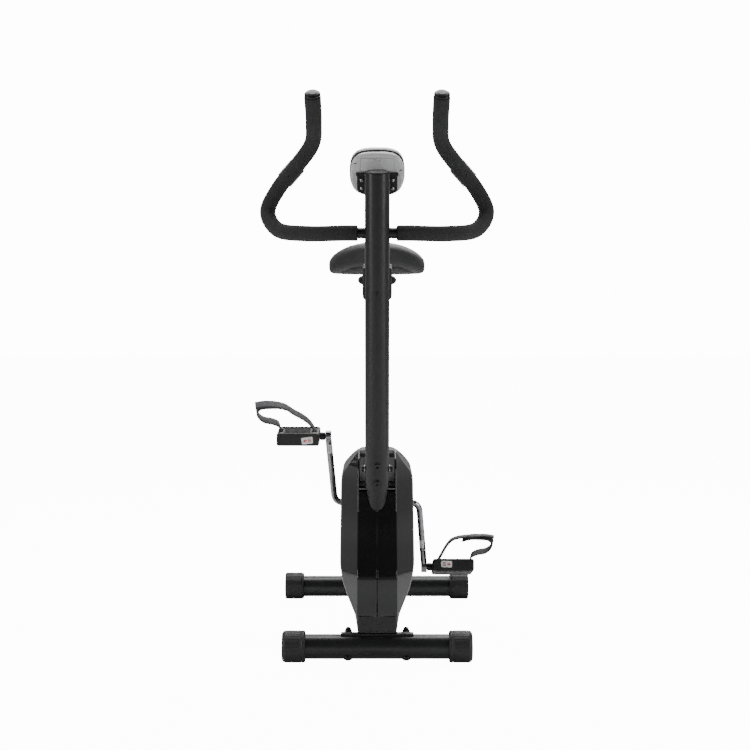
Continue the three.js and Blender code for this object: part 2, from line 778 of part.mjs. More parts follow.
function handlebarClamp() {
  const back = barDim.y + 21;
  const cap = cut(
    block(-21, 21, barDim.y + 1.2, back, barDim.z - 22, barDim.z + 22),
    rodX(barDim.radius + 0.5, -60, 60, barDim.y, barDim.z, 24),
  );
  add("handlebar_clamp", cap, satinSteel);

  const knob = join(
    rod(7, 16, new THREE.Vector3(0, back + gap, barDim.z), new THREE.Vector3(0, 1, 0), 16),
    rodX(7.5, -27, 27, back + 20, barDim.z, 14),
  );
  add("clamp_knob", knob, blackPlastic);
}

// ---------------------------------------------------------------- resistance control

function tensionControl() {
  const centre = onPost(tensionZ);
  const rear = postFront.clone().negate();
  const outline = new THREE.Shape();
  outline.moveTo(-30, 38);
  outline.lineTo(-30, -24);
  outline.lineTo(-18, -38);
  outline.lineTo(18, -38);
  outline.lineTo(30, -24);
  outline.lineTo(30, 38);
  outline.closePath();
  const depth = new THREE.ExtrudeGeometry(outline, { depth: 40, bevelEnabled: true, bevelSize: 2,
    bevelThickness: 3, bevelOffset: -2, bevelSegments: 2 });
  depth.rotateX(Math.PI / 2 + postLean);
  depth.translate(centre.x, centre.y, centre.z);
  depth.translate(0, rear.y * 50, rear.z * 50);
  const box = cut(
    depth,
    rod(post.radius + gap, 120, onPost(tensionZ - 60), postAxis, 20),
    rod(4.4, 30, onPost(tensionZ).addScaledVector(rear, 34), rear, 12),
  );
  add("tension_box", box, blackPlastic);

  const face = onPost(tensionZ).addScaledVector(rear, 53.6);
  const wings = new THREE.Shape();
  wings.moveTo(-41.5, 0);
  wings.lineTo(-16, 15);
  wings.lineTo(0, 16.5);
  wings.lineTo(16, 15);
  wings.lineTo(41.5, 0);
  wings.lineTo(16, -15);
  wings.lineTo(0, -16.5);
  wings.lineTo(-16, -15);
  wings.closePath();
  const handle = new THREE.ExtrudeGeometry(wings, { depth: 16, bevelEnabled: true, bevelSize: 3,
    bevelThickness: 3, bevelOffset: -3, bevelSegments: 2 });
  handle.rotateX(-Math.PI / 2 + postLean);
  handle.translate(face.x, face.y + rear.y * 5, face.z + rear.z * 5);
  const stem = rod(4, 20, onPost(tensionZ).addScaledVector(rear, 42), rear, 12);
  add("tension_knob", join(handle, stem), blackPlastic);

  const route = new THREE.CatmullRomCurve3([
    onPost(770),
    onPost(600),
    onPost(450),
    onPost(370),
    new THREE.Vector3(0, -211, 326),
    new THREE.Vector3(0, -205, 308),
    new THREE.Vector3(0, -194, 302.5),
    new THREE.Vector3(0, -180, 302),
  ]);
  add("tension_cable", swept(route, 2.4, 22, 6), blackPlastic);
}

// ---------------------------------------------------------------- console

function consoleOutline(half, height) {
  const outline = new THREE.Shape();
  const steps = 20;
  for (let i = 0; i < steps; i += 1) {
    const turn = (i / steps) * 2 * Math.PI;
    const c = Math.cos(turn);
    const s = Math.sin(turn);
    const x = half * Math.sign(c) * Math.abs(c) ** 0.62;
    const y = (height / 2) * Math.sign(s) * Math.abs(s) ** 0.72;
    outline[i === 0 ? "moveTo" : "lineTo"](x, y);
  }
  outline.closePath();
  return outline;
}

// Console pieces are drawn with x across, y up the face and z towards the rider, then tilted.
function faceSolid(outline, z0, z1, bevel) {
  const depth = z1 - z0 - 2 * bevel;
  const body = new THREE.ExtrudeGeometry(outline, {
    depth,
    bevelEnabled: bevel > 0,
    bevelThickness: bevel,
    bevelSize: bevel,
    bevelOffset: -bevel,
    bevelSegments: 1,
    curveSegments: 5,
  });
  body.translate(0, 0, z0 + bevel);
  // x across, y up, z to the rider becomes: up = leaning(tilt), rider = its normal towards +Y.
  const up = leaning(consoleDim.tilt);
  const rider = new THREE.Vector3(0, Math.cos(consoleDim.tilt), Math.sin(consoleDim.tilt));
  const across = new THREE.Vector3().crossVectors(up, rider);
  body.applyMatrix4(new THREE.Matrix4().makeBasis(across, up, rider));
  return body.translate(0, consoleDim.y, consoleDim.z);
}

function rectangle(x0, x1, y0, y1) {
  return new THREE.Shape([[x0, y0], [x1, y0], [x1, y1], [x0, y1]].map(([x, y]) => new THREE.Vector2(x, y)));
}

function consoleUnit() {
  const { half, height } = consoleDim;
  const doorTop = 38;
  const doorBottom = 8;
  const doorPocket = faceSolid(rectangle(-34.5, 34.5, doorBottom, doorTop), -1, 13, 0);
  const back = cut(
    faceSolid(consoleOutline(half, height), 4, 20, 4),
    faceSolid(consoleOutline(half - 3, height - 6), 8, 30, 0),
    doorPocket,
  );
  add("console_back", back, silverPlastic);
  const door = faceSolid(rectangle(-34, 34, doorBottom + 0.5, doorTop - 0.5), 3.4, 6.4, 0);
  add("battery_door", door, silverPlastic);

  const buttons = [-24, 0, 24];
  const front = cut(
    faceSolid(consoleOutline(half, height), 20.4, 38, 5),
    faceSolid(consoleOutline(half - 3, height - 6), 16, 34, 0),
    faceSolid(rectangle(-37.5, 37.5, 0.5, 37.5), 30, 50, 0),
    ...buttons.map((x) => faceSolid(rectangle(x - 9, x + 9, -33, -23), 30, 50, 0)),
  );
  add("console_front", front, silverPlastic);
  add("display_lens", faceSolid(rectangle(-37, 37, 1, 37), 34.6, 37.6, 0), lensPlastic);
  const words = ["mode", "set", "reset"];
  buttons.forEach((x, i) => {
    const outline = rectangle(x - 8.6, x + 8.6, -32.6, -23.4);
    add(`button_${words[i]}`, faceSolid(outline, 34.4, 40, 1), rubber);
  });
}

// ---------------------------------------------------------------- seat

function seat() {
  const sleeveAt = alongSeat(372);
  const sleeve = turned([
    [0, 19.4],
    [0, 22.9],
    [60.4, 22.9],
    [60.4, 27],
    [67, 26],
    [68, 19.4],
  ], sleeveAt, seatAxis, 20);
  const pinWay = rod(4.6, 40, alongSeat(400), new THREE.Vector3(0, 1, 0), 12);
  add("seat_bushing", cut(sleeve, pinWay), blackPlastic);

  add("seat_post", pipe(18.9, 17, 424, alongSeat(302), seatAxis, 20), chrome);

  const pinStart = alongSeat(400).add(new THREE.Vector3(0, 20.2, 0));
  const pin = turned([
    [0, 0],
    [0, 4],
    [8, 4],
    [8, 8],
    [16, 8],
    [18, 16],
    [30, 17],
    [34, 13],
    [35, 0],
  ], pinStart, new THREE.Vector3(0, 1, 0), 12);
  add("pop_pin", pin, blackPlastic);

  const head = alongSeat(726);
  const backwards = new THREE.Vector3(0, 1, 0);
  const railHole = (x) => rod(5, 60, new THREE.Vector3(x, head.y - 30, head.z + 9), backwards, 12);
  const clamp = cut(
    join(
      block(-29, 29, head.y - 20, head.y + 20, head.z - 14, head.z + 16),
      rodX(9, -31, 31, head.y, head.z - 5, 14),
    ),
    rod(19.2, 120, alongSeat(620), seatAxis, 24),
    railHole(-22),
    railHole(22),
  );
  add("seat_clamp", clamp, satinSteel);

  // One bent wire: two runs along the clamp, closed at the nose.
  const railZ = head.z + 9;
  const rails = new THREE.CatmullRomCurve3([
    [-30, 366, railZ + 11], [-25, 352, railZ + 5], [-22, 336, railZ], [-22, 300, railZ], [-22, 264, railZ],
    [-18, 232, railZ + 4],
    [-9, 208, railZ + 8], [0, 201, railZ + 9], [9, 208, railZ + 8], [18, 232, railZ + 4], [22, 264, railZ],
    [22, 300, railZ], [22, 336, railZ], [25, 352, railZ + 5], [30, 366, railZ + 11],
  ].map(([x, y, z]) => new THREE.Vector3(x, y, z)), false, "centripetal");
  add("saddle_rails", swept(rails, 3.4, 28, 6), chrome);

  add("saddle_base", saddleShell(), blackPlastic);
  add("saddle_pad", saddlePad(), vinyl);
}

// Where a point of the saddle's outline lies: x and y run from -1 to 1 across the width and the length.
function saddleWidthAt(y) {
  return saddleDim.halfWidth * (1 - 0.5 * Math.max(0, -y) ** 1.4);
}

function saddleRim(x, y) {
  return saddleDim.z - saddleDim.droop * x ** 2 * (1 - 0.6 * Math.max(0, -y));
}

function saddleUnderside(x, y) {
  const rest = Math.max(0, 1 - x ** 2 - y ** 2);
  return saddleRim(x, y) - saddleDim.below * rest ** 0.4;
}

// Moves the points of a unit sphere to a form above the saddle's outline.
function saddleForm(spread, heightAt) {
  const form = new THREE.SphereGeometry(1, 22, 12).rotateX(Math.PI / 2);
  const position = form.attributes.position;
  for (let i = 0; i < position.count; i += 1) {
    const x = spread * position.getX(i);
    const y = spread * position.getY(i);
    const z = position.getZ(i);
    position.setXYZ(i, saddleWidthAt(y) * x, saddleDim.y + saddleDim.halfLength * y, heightAt(x, y, z));
  }
  form.deleteAttribute("normal");
  form.deleteAttribute("uv");
  return mergeVertices(form, 1e-3);
}

// The cushion is wide and drooping at the back and narrower at the nose; the shell follows its underside.
function saddlePad() {
  return saddleForm(1, (x, y, z) => {
    const rise = Math.abs(z) ** 0.8;
    return saddleRim(x, y) + (z > 0 ? saddleDim.above * rise : -saddleDim.below * rise);
  });
}

function saddleShell() {
  return saddleForm(0.86, (x, y, z) => saddleUnderside(x, y) - 3 + (z > 0 ? 0 : 6 * z));
}

// ---------------------------------------------------------------- the whole bike

mainFrame();
stabiliser("front_stabilizer", frontFoot);
stabiliser("rear_stabilizer", rearFoot);
frontCaps();
rearCaps();
footBolts();
handlebarPost();
housing();
crank();
flywheel();
driveBelt();
magnetBracket();
pedal(1, "left", -15.6, [[-37, 8], [-24, 31], [-11, 52], [0, 62.5], [14, 67.5], [30, 70], [50, 71], [77, 72],
  [97, 69]]);
pedal(-1, "right", 4, [[-40, 8], [-25, 30], [-9, 43], [11, 54], [30, 66], [50, 71], [77, 72], [97, 69]]);
handlebar();
handlebarClamp();
tensionControl();
consoleUnit();
seat();

model.position.y = centreShift;
model.updateMatrixWorld(true);

export default model;
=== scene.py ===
import math

import bmesh
import bpy
from mathutils import Matrix, Vector


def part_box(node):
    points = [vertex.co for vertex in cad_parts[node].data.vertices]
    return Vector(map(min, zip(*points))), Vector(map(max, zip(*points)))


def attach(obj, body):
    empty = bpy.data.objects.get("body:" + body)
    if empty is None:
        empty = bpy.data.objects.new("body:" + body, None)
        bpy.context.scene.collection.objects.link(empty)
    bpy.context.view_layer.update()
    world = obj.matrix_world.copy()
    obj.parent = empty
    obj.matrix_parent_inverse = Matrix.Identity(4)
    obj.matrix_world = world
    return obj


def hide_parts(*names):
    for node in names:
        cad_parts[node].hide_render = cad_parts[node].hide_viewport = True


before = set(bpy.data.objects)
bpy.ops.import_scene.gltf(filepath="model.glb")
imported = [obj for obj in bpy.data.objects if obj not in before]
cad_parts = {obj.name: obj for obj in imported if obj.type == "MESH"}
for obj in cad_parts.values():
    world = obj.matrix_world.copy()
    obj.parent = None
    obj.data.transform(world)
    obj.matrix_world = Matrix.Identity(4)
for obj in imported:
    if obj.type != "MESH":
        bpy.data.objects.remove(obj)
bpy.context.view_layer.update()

# Shapes are drawn in millimetres, with the crank axle over y = 0 as in the CAD.
# to_frame() turns them into the shared frame's metres.

MM = 0.001
PER_METRE = 1000
axle_low, axle_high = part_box("crank_bearing_left")
AXLE_Y = (axle_low[1] + axle_high[1]) / 2

X = Vector((1, 0, 0))
Y = Vector((0, 1, 0))
Z = Vector((0, 0, 1))

SIDES = ((1, "left"), (-1, "right"))
TINY = 1e-6

GAP = 0.3
FOOT_PLATE = 4
FOOT_RADIUS = 25.5
FRONT_FOOT = {"y": -310, "z": 33, "half": 196.5, "cap": 48, "cap_radius": 33}
REAR_FOOT = {"y": 340, "z": 31, "half": 227.5, "cap": 46}
FOOT_BOLT_X = 60
FOOT_BOLT_AXIS = Vector((0, math.sin(math.radians(35)), math.cos(math.radians(35))))

LEAN = math.radians(12)
POST_RADIUS = 25.4
POST_FOOT = Vector((0, -220, 352))
POST_AXIS = Vector((0, -math.sin(LEAN), math.cos(LEAN)))
POST_FRONT = Vector((0, -math.cos(LEAN), -math.sin(LEAN)))
POST_LENGTH = 667
STUB_RADIUS = 22.9
TUNNEL_RADIUS = STUB_RADIUS + 1.4

SEAT_LEAN = math.atan2(95, 420)
SEAT_FOOT = Vector((0, 140, 78))
SEAT_AXIS = Vector((0, math.sin(SEAT_LEAN), math.cos(SEAT_LEAN)))
SEAT_TUBE_LENGTH = 432

AXLE = Vector((0, 0, 288))
CRANK_TILT = math.radians(19)
CRANK_LENGTH = 165
EYE_X = 108
ARM_X = 95

BAR_Y = -292
BAR_Z = 886
BAR_RADIUS = 11.2
BAR_SEAT = 11.6
CLAMP_HALF = 21
CONSOLE_PLACE = Vector((0, -328, 1000))
CONSOLE_TILT = math.radians(30)
TENSION_Z = 776


def to_frame(p):
    return Vector((p[0] * MM, p[1] * MM + AXLE_Y, p[2] * MM))


def on_post(z):
    return POST_FOOT + POST_AXIS * ((z - POST_FOOT.z) / POST_AXIS.z)


def along_seat(distance):
    return SEAT_FOOT + SEAT_AXIS * distance


# The stub bends down out of the post to the front foot.
STUB_LINE = [on_post(z) for z in (440, 400, 360, 322)]
STUB_LINE += [Vector((0, y, z)) for y, z in ((-214, 262), (-236, 204), (-256, 150), (-262, 92))]


# ---------------------------------------------------------------- camera, floor and light

CAMERA_DIP = 2.13

camera = bpy.data.objects.new("camera", bpy.data.cameras.new("camera"))
camera.data.lens = 72.6
camera.data.sensor_width = 36
camera.location = (-0.0045, -3.4215, 0.768)
camera.data.shift_y = -0.0377
camera.rotation_euler = (math.radians(90 - CAMERA_DIP), 0, 0)
bpy.context.scene.collection.objects.link(camera)
bpy.context.scene.camera = camera


def softbox(name, place, target, width, height, power):
    light = bpy.data.lights.new(name, "AREA")
    light.shape = "RECTANGLE"
    light.size = width
    light.size_y = height
    light.energy = power
    obj = bpy.data.objects.new(name, light)
    obj.location = place
    obj.rotation_euler = (Vector(target) - Vector(place)).to_track_quat("-Z", "Y").to_euler()
    bpy.context.scene.collection.objects.link(obj)


softbox("softbox_left", (-2.3, -1.5, 1.2), (0, -0.1, 0.5), 0.4, 1.7, 30)
softbox("softbox_right", (2.3, -1.5, 1.2), (0, -0.1, 0.5), 0.4, 1.7, 30)
softbox("softbox_top", (0, 0.75, 2.9), (0, 0, 0.5), 2.0, 1.5, 55)
softbox("softbox_rear", (0.6, 2.6, 1.9), (0, 0, 0.6), 2.0, 1.4, 30)


def node(tree, kind, **values):
    made = tree.nodes.new(kind)
    for key, value in values.items():
        if key in made.inputs:
            made.inputs[key].default_value = value
        else:
            setattr(made, key, value)
    return made


def map_range(tree, source, limits, **values):
    """Spreads a value over a new range; limits are from low, from high, to low, to high."""
    made = node(tree, "ShaderNodeMapRange", **values)
    for key, value in zip(("From Min", "From Max", "To Min", "To Max"), limits):
        made.inputs[key].default_value = value
    tree.links.new(source, made.inputs["Value"])
    return made.outputs["Result"]


WHITE = (1, 1, 1, 1)
BEHIND = (-0.25, 0.8, 0, 0.55)
NEAR_FLOOR = (0.05, 0.4, 0.26, 0.06)
BACKDROP_STRENGTH = 14.0
FLOOR_STRENGTH = 13.0
FLOOR_REACH = 14
FLOOR_GREY = (0.8, 0.8, 0.8, 1)


def studio_world():
    world = bpy.data.worlds.new("studio")
    bpy.context.scene.world = world
    world.use_nodes = True
    tree = world.node_tree
    tree.nodes.clear()
    coord = node(tree, "ShaderNodeTexCoord")
    split = node(tree, "ShaderNodeSeparateXYZ")
    tree.links.new(coord.outputs["Generated"], split.inputs[0])
    # Brightest behind the object, and elsewhere brighter near the floor than overhead.
    ahead = node(tree, "ShaderNodeMath", operation="MAXIMUM")
    for i, (axis, limits) in enumerate((("Y", BEHIND), ("Z", NEAR_FLOOR))):
        level = map_range(tree, split.outputs[axis], limits, interpolation_type="SMOOTHSTEP")
        tree.links.new(level, ahead.inputs[i])
    light = node(tree, "ShaderNodeBackground", Color=WHITE)
    tree.links.new(ahead.outputs[0], light.inputs["Strength"])
    plain = node(tree, "ShaderNodeBackground", Color=WHITE, Strength=BACKDROP_STRENGTH)
    path = node(tree, "ShaderNodeLightPath")
    mix = node(tree, "ShaderNodeMixShader")
    out = node(tree, "ShaderNodeOutputWorld")
    sources = (path.outputs["Is Camera Ray"], light.outputs[0], plain.outputs[0])
    for source, target in zip(sources, mix.inputs):
        tree.links.new(source, target)
    tree.links.new(mix.outputs[0], out.inputs[0])


def floor():
    mesh = bpy.data.meshes.new("floor")
    reach = FLOOR_REACH
    corners = [(-reach, -reach, 0), (reach, -reach, 0), (reach, reach, 0), (-reach, reach, 0)]
    mesh.from_pydata(corners, [], [(0, 1, 2, 3)])
    obj = bpy.data.objects.new("floor", mesh)
    bpy.context.scene.collection.objects.link(obj)
    material = bpy.data.materials.new("floor_white")
    material.use_nodes = True
    tree = material.node_tree
    tree.nodes.clear()
    diffuse = node(tree, "ShaderNodeBsdfDiffuse", Color=FLOOR_GREY)
    glow = node(tree, "ShaderNodeEmission", Color=WHITE)
    path = node(tree, "ShaderNodeLightPath")
    level = node(tree, "ShaderNodeMath", operation="MULTIPLY")
    level.inputs[1].default_value = FLOOR_STRENGTH
    tree.links.new(path.outputs["Is Camera Ray"], level.inputs[0])
    tree.links.new(level.outputs[0], glow.inputs["Strength"])
    both = node(tree, "ShaderNodeAddShader")
    out = node(tree, "ShaderNodeOutputMaterial")
    tree.links.new(diffuse.outputs[0], both.inputs[0])
    tree.links.new(glow.outputs[0], both.inputs[1])
    tree.links.new(both.outputs[0], out.inputs[0])
    mesh.materials.append(material)


studio_world()
floor()

# ---------------------------------------------------------------- materials


BLOTCH_SCALE = 14.0
COAT_ROUGHNESS = 0.06
SHEEN_ROUGHNESS = 0.5


def surface(name, color, roughness, metallic=0.0, coat=0.0, vary=0.12, rough_vary=0.06, grain=900.0,
            bump=0.06, depth=0.0002, kind="noise", wear=0.0, wear_color=None, specular=0.5, sheen=0.0):
    """A finish with uneven colour and gloss, a fine surface texture and, if asked, rubbed edges."""
    material = bpy.data.materials.new(name)
    material.use_nodes = True
    tree = material.node_tree
    bsdf = tree.nodes["Principled BSDF"]
    for key, value in (("Metallic", metallic), ("Specular IOR Level", specular), ("Coat Weight", coat),
                       ("Coat Roughness", COAT_ROUGHNESS), ("Sheen Weight", sheen),
                       ("Sheen Roughness", SHEEN_ROUGHNESS)):
        bsdf.inputs[key].default_value = value
    place = node(tree, "ShaderNodeTexCoord").outputs["Object"]

    cloud = node(tree, "ShaderNodeTexNoise", Scale=BLOTCH_SCALE, Detail=5.0, Roughness=0.6)
    tree.links.new(place, cloud.inputs["Vector"])
    ramp = node(tree, "ShaderNodeValToRGB")
    for stop, position, change in zip(ramp.color_ramp.elements, (0.3, 0.7), (1 - vary, 1 + vary)):
        stop.position = position
        stop.color = tuple(min(1, c * change) for c in color) + (1,)
    tree.links.new(cloud.outputs["Fac"], ramp.inputs[0])
    shade = ramp.outputs["Color"]
    if wear:
        geometry = node(tree, "ShaderNodeNewGeometry")
        edge = map_range(tree, geometry.outputs["Pointiness"], (0.52, 0.62, 0, wear))
        blend = node(tree, "ShaderNodeMix", data_type="RGBA")
        tree.links.new(edge, blend.inputs[0])
        tree.links.new(shade, blend.inputs[6])
        blend.inputs[7].default_value = tuple(wear_color or (c * 2 + 0.04 for c in color)) + (1,)
        shade = blend.outputs[2]
    tree.links.new(shade, bsdf.inputs["Base Color"])

    smear = node(tree, "ShaderNodeTexNoise", Scale=BLOTCH_SCALE * 3.1, Detail=6.0, Roughness=0.7)
    tree.links.new(place, smear.inputs["Vector"])
    uneven = (0.25, 0.75, max(0.02, roughness - rough_vary), min(1.0, roughness + rough_vary))
    tree.links.new(map_range(tree, smear.outputs["Fac"], uneven), bsdf.inputs["Roughness"])

    if kind == "noise":
        fine = node(tree, "ShaderNodeTexNoise", Scale=grain, Detail=3.0, Roughness=0.55)
        height = fine.outputs["Fac"]
    else:
        fine = node(tree, "ShaderNodeTexVoronoi", Scale=grain)
        fine.feature = "SMOOTH_F1" if kind == "pebble" else "F1"
        height = fine.outputs["Distance"]
    tree.links.new(place, fine.inputs["Vector"])
    relief = node(tree, "ShaderNodeBump", Strength=bump, Distance=depth)
    tree.links.new(height, relief.inputs["Height"])
    tree.links.new(relief.outputs["Normal"], bsdf.inputs["Normal"])
    return material


powder = surface("powder_coat", (0.009, 0.009, 0.0095), 0.36, coat=0.15, grain=1500, bump=0.10,
                 depth=0.0002, wear=0.25, vary=0.15)
gloss = surface("gloss_shell", (0.0055, 0.0055, 0.006), 0.13, coat=0.5, grain=260, bump=0.015, depth=0.0002,
                rough_vary=0.04, vary=0.2)
moulded = surface("moulded_black", (0.017, 0.017, 0.018), 0.5, kind="pebble", grain=1300, bump=0.28,
                  depth=0.0002, wear=0.3, vary=0.14)
smooth_plastic = surface("smooth_black", (0.012, 0.012, 0.0125), 0.3, grain=500, bump=0.05, vary=0.15)
chrome = surface("chrome_plate", (0.36, 0.365, 0.38), 0.07, metallic=1.0, grain=300, bump=0.02,
                 depth=0.0001, rough_vary=0.035, vary=0.04)
bolt_black = surface("black_oxide", (0.03, 0.03, 0.032), 0.36, metallic=0.75, grain=1800, bump=0.14,
                     wear=0.5, wear_color=(0.22, 0.22, 0.23))
zinc = surface("zinc_plate", (0.5, 0.51, 0.53), 0.34, metallic=0.9, grain=900, bump=0.12, vary=0.1)
iron = surface("cast_iron", (0.05, 0.052, 0.056), 0.55, metallic=0.8, grain=500, bump=0.4, depth=0.0005,
               wear=0.6, wear_color=(0.25, 0.25, 0.26))
foam = surface("grip_foam", (0.037, 0.037, 0.0375), 0.93, kind="cells", grain=1300, bump=0.35, depth=0.0004,
               sheen=0.1, specular=0.22, vary=0.2, rough_vary=0.05)
strap_rubber = surface("strap_rubber", (0.045, 0.046, 0.049), 0.62, grain=900, bump=0.12, depth=0.0003,
                       vary=0.12, wear=0.3)
belt_rubber = surface("belt_rubber", (0.012, 0.012, 0.012), 0.75, grain=700, bump=0.3, depth=0.0004)
vinyl = surface("saddle_vinyl", (0.021, 0.021, 0.022), 0.52, kind="pebble", grain=620, bump=0.32,
                depth=0.0004, sheen=0.08, vary=0.14, rough_vary=0.07, specular=0.4)
silver = surface("silver_plastic", (0.6, 0.605, 0.61), 0.36, kind="pebble", grain=1500, bump=0.08,
                 depth=0.0001, vary=0.05, coat=0.2)
silver_gloss = surface("silver_gloss", (0.93, 0.935, 0.94), 0.2, grain=700, bump=0.02, depth=0.0001,
                       vary=0.04, coat=0.6)
button_rubber = surface("button_rubber", (0.05, 0.05, 0.053), 0.65, grain=1200, bump=0.2, vary=0.1)
lens = surface("lens_plastic", (0.028, 0.034, 0.031), 0.08, coat=0.8, grain=400, bump=0.01, vary=0.1,
               rough_vary=0.02)
screen = surface("screen_grey", (0.21, 0.24, 0.19), 0.3, grain=900, bump=0.02, vary=0.06)
label_white = surface("label_white", (0.9, 0.9, 0.89), 0.35, grain=1500, bump=0.03, vary=0.03)
label_red = surface("label_red", (0.55, 0.02, 0.018), 0.38, grain=1500, bump=0.03, vary=0.08)
weld = surface("weld_bead", (0.014, 0.014, 0.015), 0.4, grain=420, bump=0.5, depth=0.0008, coat=0.2)
# Light grey for the recess walls of the glossy black housing: painted reflection and light, not the
# plastic's own colour.
recess_painted_reflection = surface("recess_painted_reflection", (0.24, 0.24, 0.245), 0.42, grain=900, bump=0.08, vary=0.12)
matt_black = surface("matt_black", (0.006, 0.006, 0.0062), 0.6, kind="pebble", grain=1400, bump=0.12,
                     vary=0.2)
# Black for painted shadow in the slots, holes and recess groove; on the console it is also the digits' own
# colour.
dark = surface("painted_shadow_and_digit_black", (0.004, 0.004, 0.004), 0.7, grain=900, bump=0.1)

STEEL = ("bike", "satin_steel", powder)
WELD = ("bike", "satin_steel", weld)
PLASTIC = ("bike", "black_plastic", moulded)
BOLT = ("bike", "black_bolt", bolt_black)

# ---------------------------------------------------------------- shape helpers


def basis(axis, hint=None):
    w = Vector(axis).normalized()
    u = Vector(hint) if hint is not None else (Y.copy() if abs(w.x) > 0.9 else X.copy())
    u = (u - w * u.dot(w)).normalized()
    return u, w.cross(u), w


def fillet(points, radius, steps=4, closed=True):
    """Rounds the corners of a flat line; radius is one number or one for each corner."""
    out = []
    count = len(points)
    for i, point in enumerate(points):
        r = radius[i] if isinstance(radius, (list, tuple)) else radius
        b = Vector(point)
        if r <= 0 or (not closed and i in (0, count - 1)):
            out.append((b.x, b.y))
            continue
        before = Vector(points[i - 1]) - b
        after = Vector(points[(i + 1) % count]) - b
        if before.length < 1e-6 or after.length < 1e-6:
            out.append((b.x, b.y))
            continue
        angle = before.angle(after)
        if angle > math.pi - 0.02:
            out.append((b.x, b.y))
            continue
        reach = min(r / math.tan(angle / 2), 0.48 * before.length, 0.48 * after.length)
        first = b + before.normalized() * reach
        last = b + after.normalized() * reach
        for k in range(steps + 1):
            t = k / steps
            q = first * (1 - t) ** 2 + b * (2 * t * (1 - t)) + last * t ** 2
            out.append((q.x, q.y))
    return out


def stack(rings):
    """The points of rings laid one after another, and each ring's numbers among them."""
    verts, rows = [], []
    for ring in rings:
        rows.append(list(range(len(verts), len(verts) + len(ring))))
        verts += ring
    return verts, rows


def circle(radius, count):
    angles = [2 * math.pi * i / count for i in range(count)]
    return [(radius * math.cos(t), radius * math.sin(t)) for t in angles]


def lathe(profile, start, axis, sides=48, ring=False, shape=None):
    """A turned piece from (distance along the axis, radius) pairs."""
    start = Vector(start)
    u, v, w = basis(axis)
    rings = []
    for along, radius in profile:
        if radius < TINY:
            rings.append([start + w * along])
            continue
        angles = [2 * math.pi * i / sides for i in range(sides)]
        reach = [shape(radius, t, along) if shape else radius for t in angles]
        rings.append([start + w * along + (u * math.cos(t) + v * math.sin(t)) * r
                      for t, r in zip(angles, reach)])
    verts, rows = stack(rings)
    faces = []
    pairs = list(zip(rows, rows[1:])) + ([(rows[-1], rows[0])] if ring else [])
    for a, b in pairs:
        if len(a) == 1 and len(b) == 1:
            continue
        for i in range(sides):
            j = (i + 1) % sides
            if len(a) == 1:
                faces.append((a[0], b[j], b[i]))
            elif len(b) == 1:
                faces.append((a[i], a[j], b[0]))
            else:
                faces.append((a[i], a[j], b[j], b[i]))
    if not ring:
        if len(rows[0]) > 1:
            faces.append(tuple(reversed(rows[0])))
        if len(rows[-1]) > 1:
            faces.append(tuple(rows[-1]))
    return verts, faces


def pipe(outer, inner, start, axis, length, sides=48, edge=0.6):
    corners = fillet([(0, inner), (0, outer), (length, outer), (length, inner)], edge, 3)
    return lathe(corners, start, axis, sides, ring=True)


def rod(radius, start, axis, length, sides=32, edge=0.8):
    line = fillet([(0, 0), (0, radius), (length, radius), (length, 0)], edge, 3, closed=False)
    return lathe(line, start, axis, sides)


def spline(points, spacing):
    """Points evenly spaced along a centripetal Catmull-Rom curve."""
    pts = [Vector(p) for p in points]
    pts = [pts[0] * 2 - pts[1]] + pts + [pts[-1] * 2 - pts[-2]]
    fine = []
    for i in range(1, len(pts) - 2):
        p0, p1, p2, p3 = pts[i - 1], pts[i], pts[i + 1], pts[i + 2]
        d0, d1, d2 = (max((b - a).length ** 0.5, 1e-4) for a, b in ((p0, p1), (p1, p2), (p2, p3)))
        m1 = ((p1 - p0) / d0 - (p2 - p0) / (d0 + d1) + (p2 - p1) / d1) * d1
        m2 = ((p2 - p1) / d1 - (p3 - p1) / (d1 + d2) + (p3 - p2) / d2) * d1
        for k in range(24):
            t = k / 24
            fine.append(p1 * (2 * t ** 3 - 3 * t ** 2 + 1) + m1 * (t ** 3 - 2 * t ** 2 + t)
                        + p2 * (-2 * t ** 3 + 3 * t ** 2) + m2 * (t ** 3 - t ** 2))
    fine.append(pts[-2].copy())
    return resample(fine, spacing)


def resample(line, spacing):
    lengths = [0.0]
    for a, b in zip(line, line[1:]):
        lengths.append(lengths[-1] + (b - a).length)
    total = lengths[-1]
    count = max(2, round(total / spacing))
    out, j = [], 0
    for i in range(count + 1):
        want = total * i / count
        while j < len(line) - 2 and lengths[j + 1] < want:
            j += 1
        span = lengths[j + 1] - lengths[j]
        t = (want - lengths[j]) / span if span > 1e-9 else 0
        out.append(line[j].lerp(line[j + 1], min(1, t)))
    return out


def stretch_of(line, start, end):
    """The part of an evenly spaced line between two shares of its length."""
    last = len(line) - 1

    def at(share):
        place = min(max(share, 0), 1) * last
        i = min(int(place), last - 1)
        return line[i].lerp(line[i + 1], place - i)

    inner = [line[i] for i in range(last + 1) if start * last + 0.3 < i < end * last - 0.3]
    return [at(start)] + inner + [at(end)]


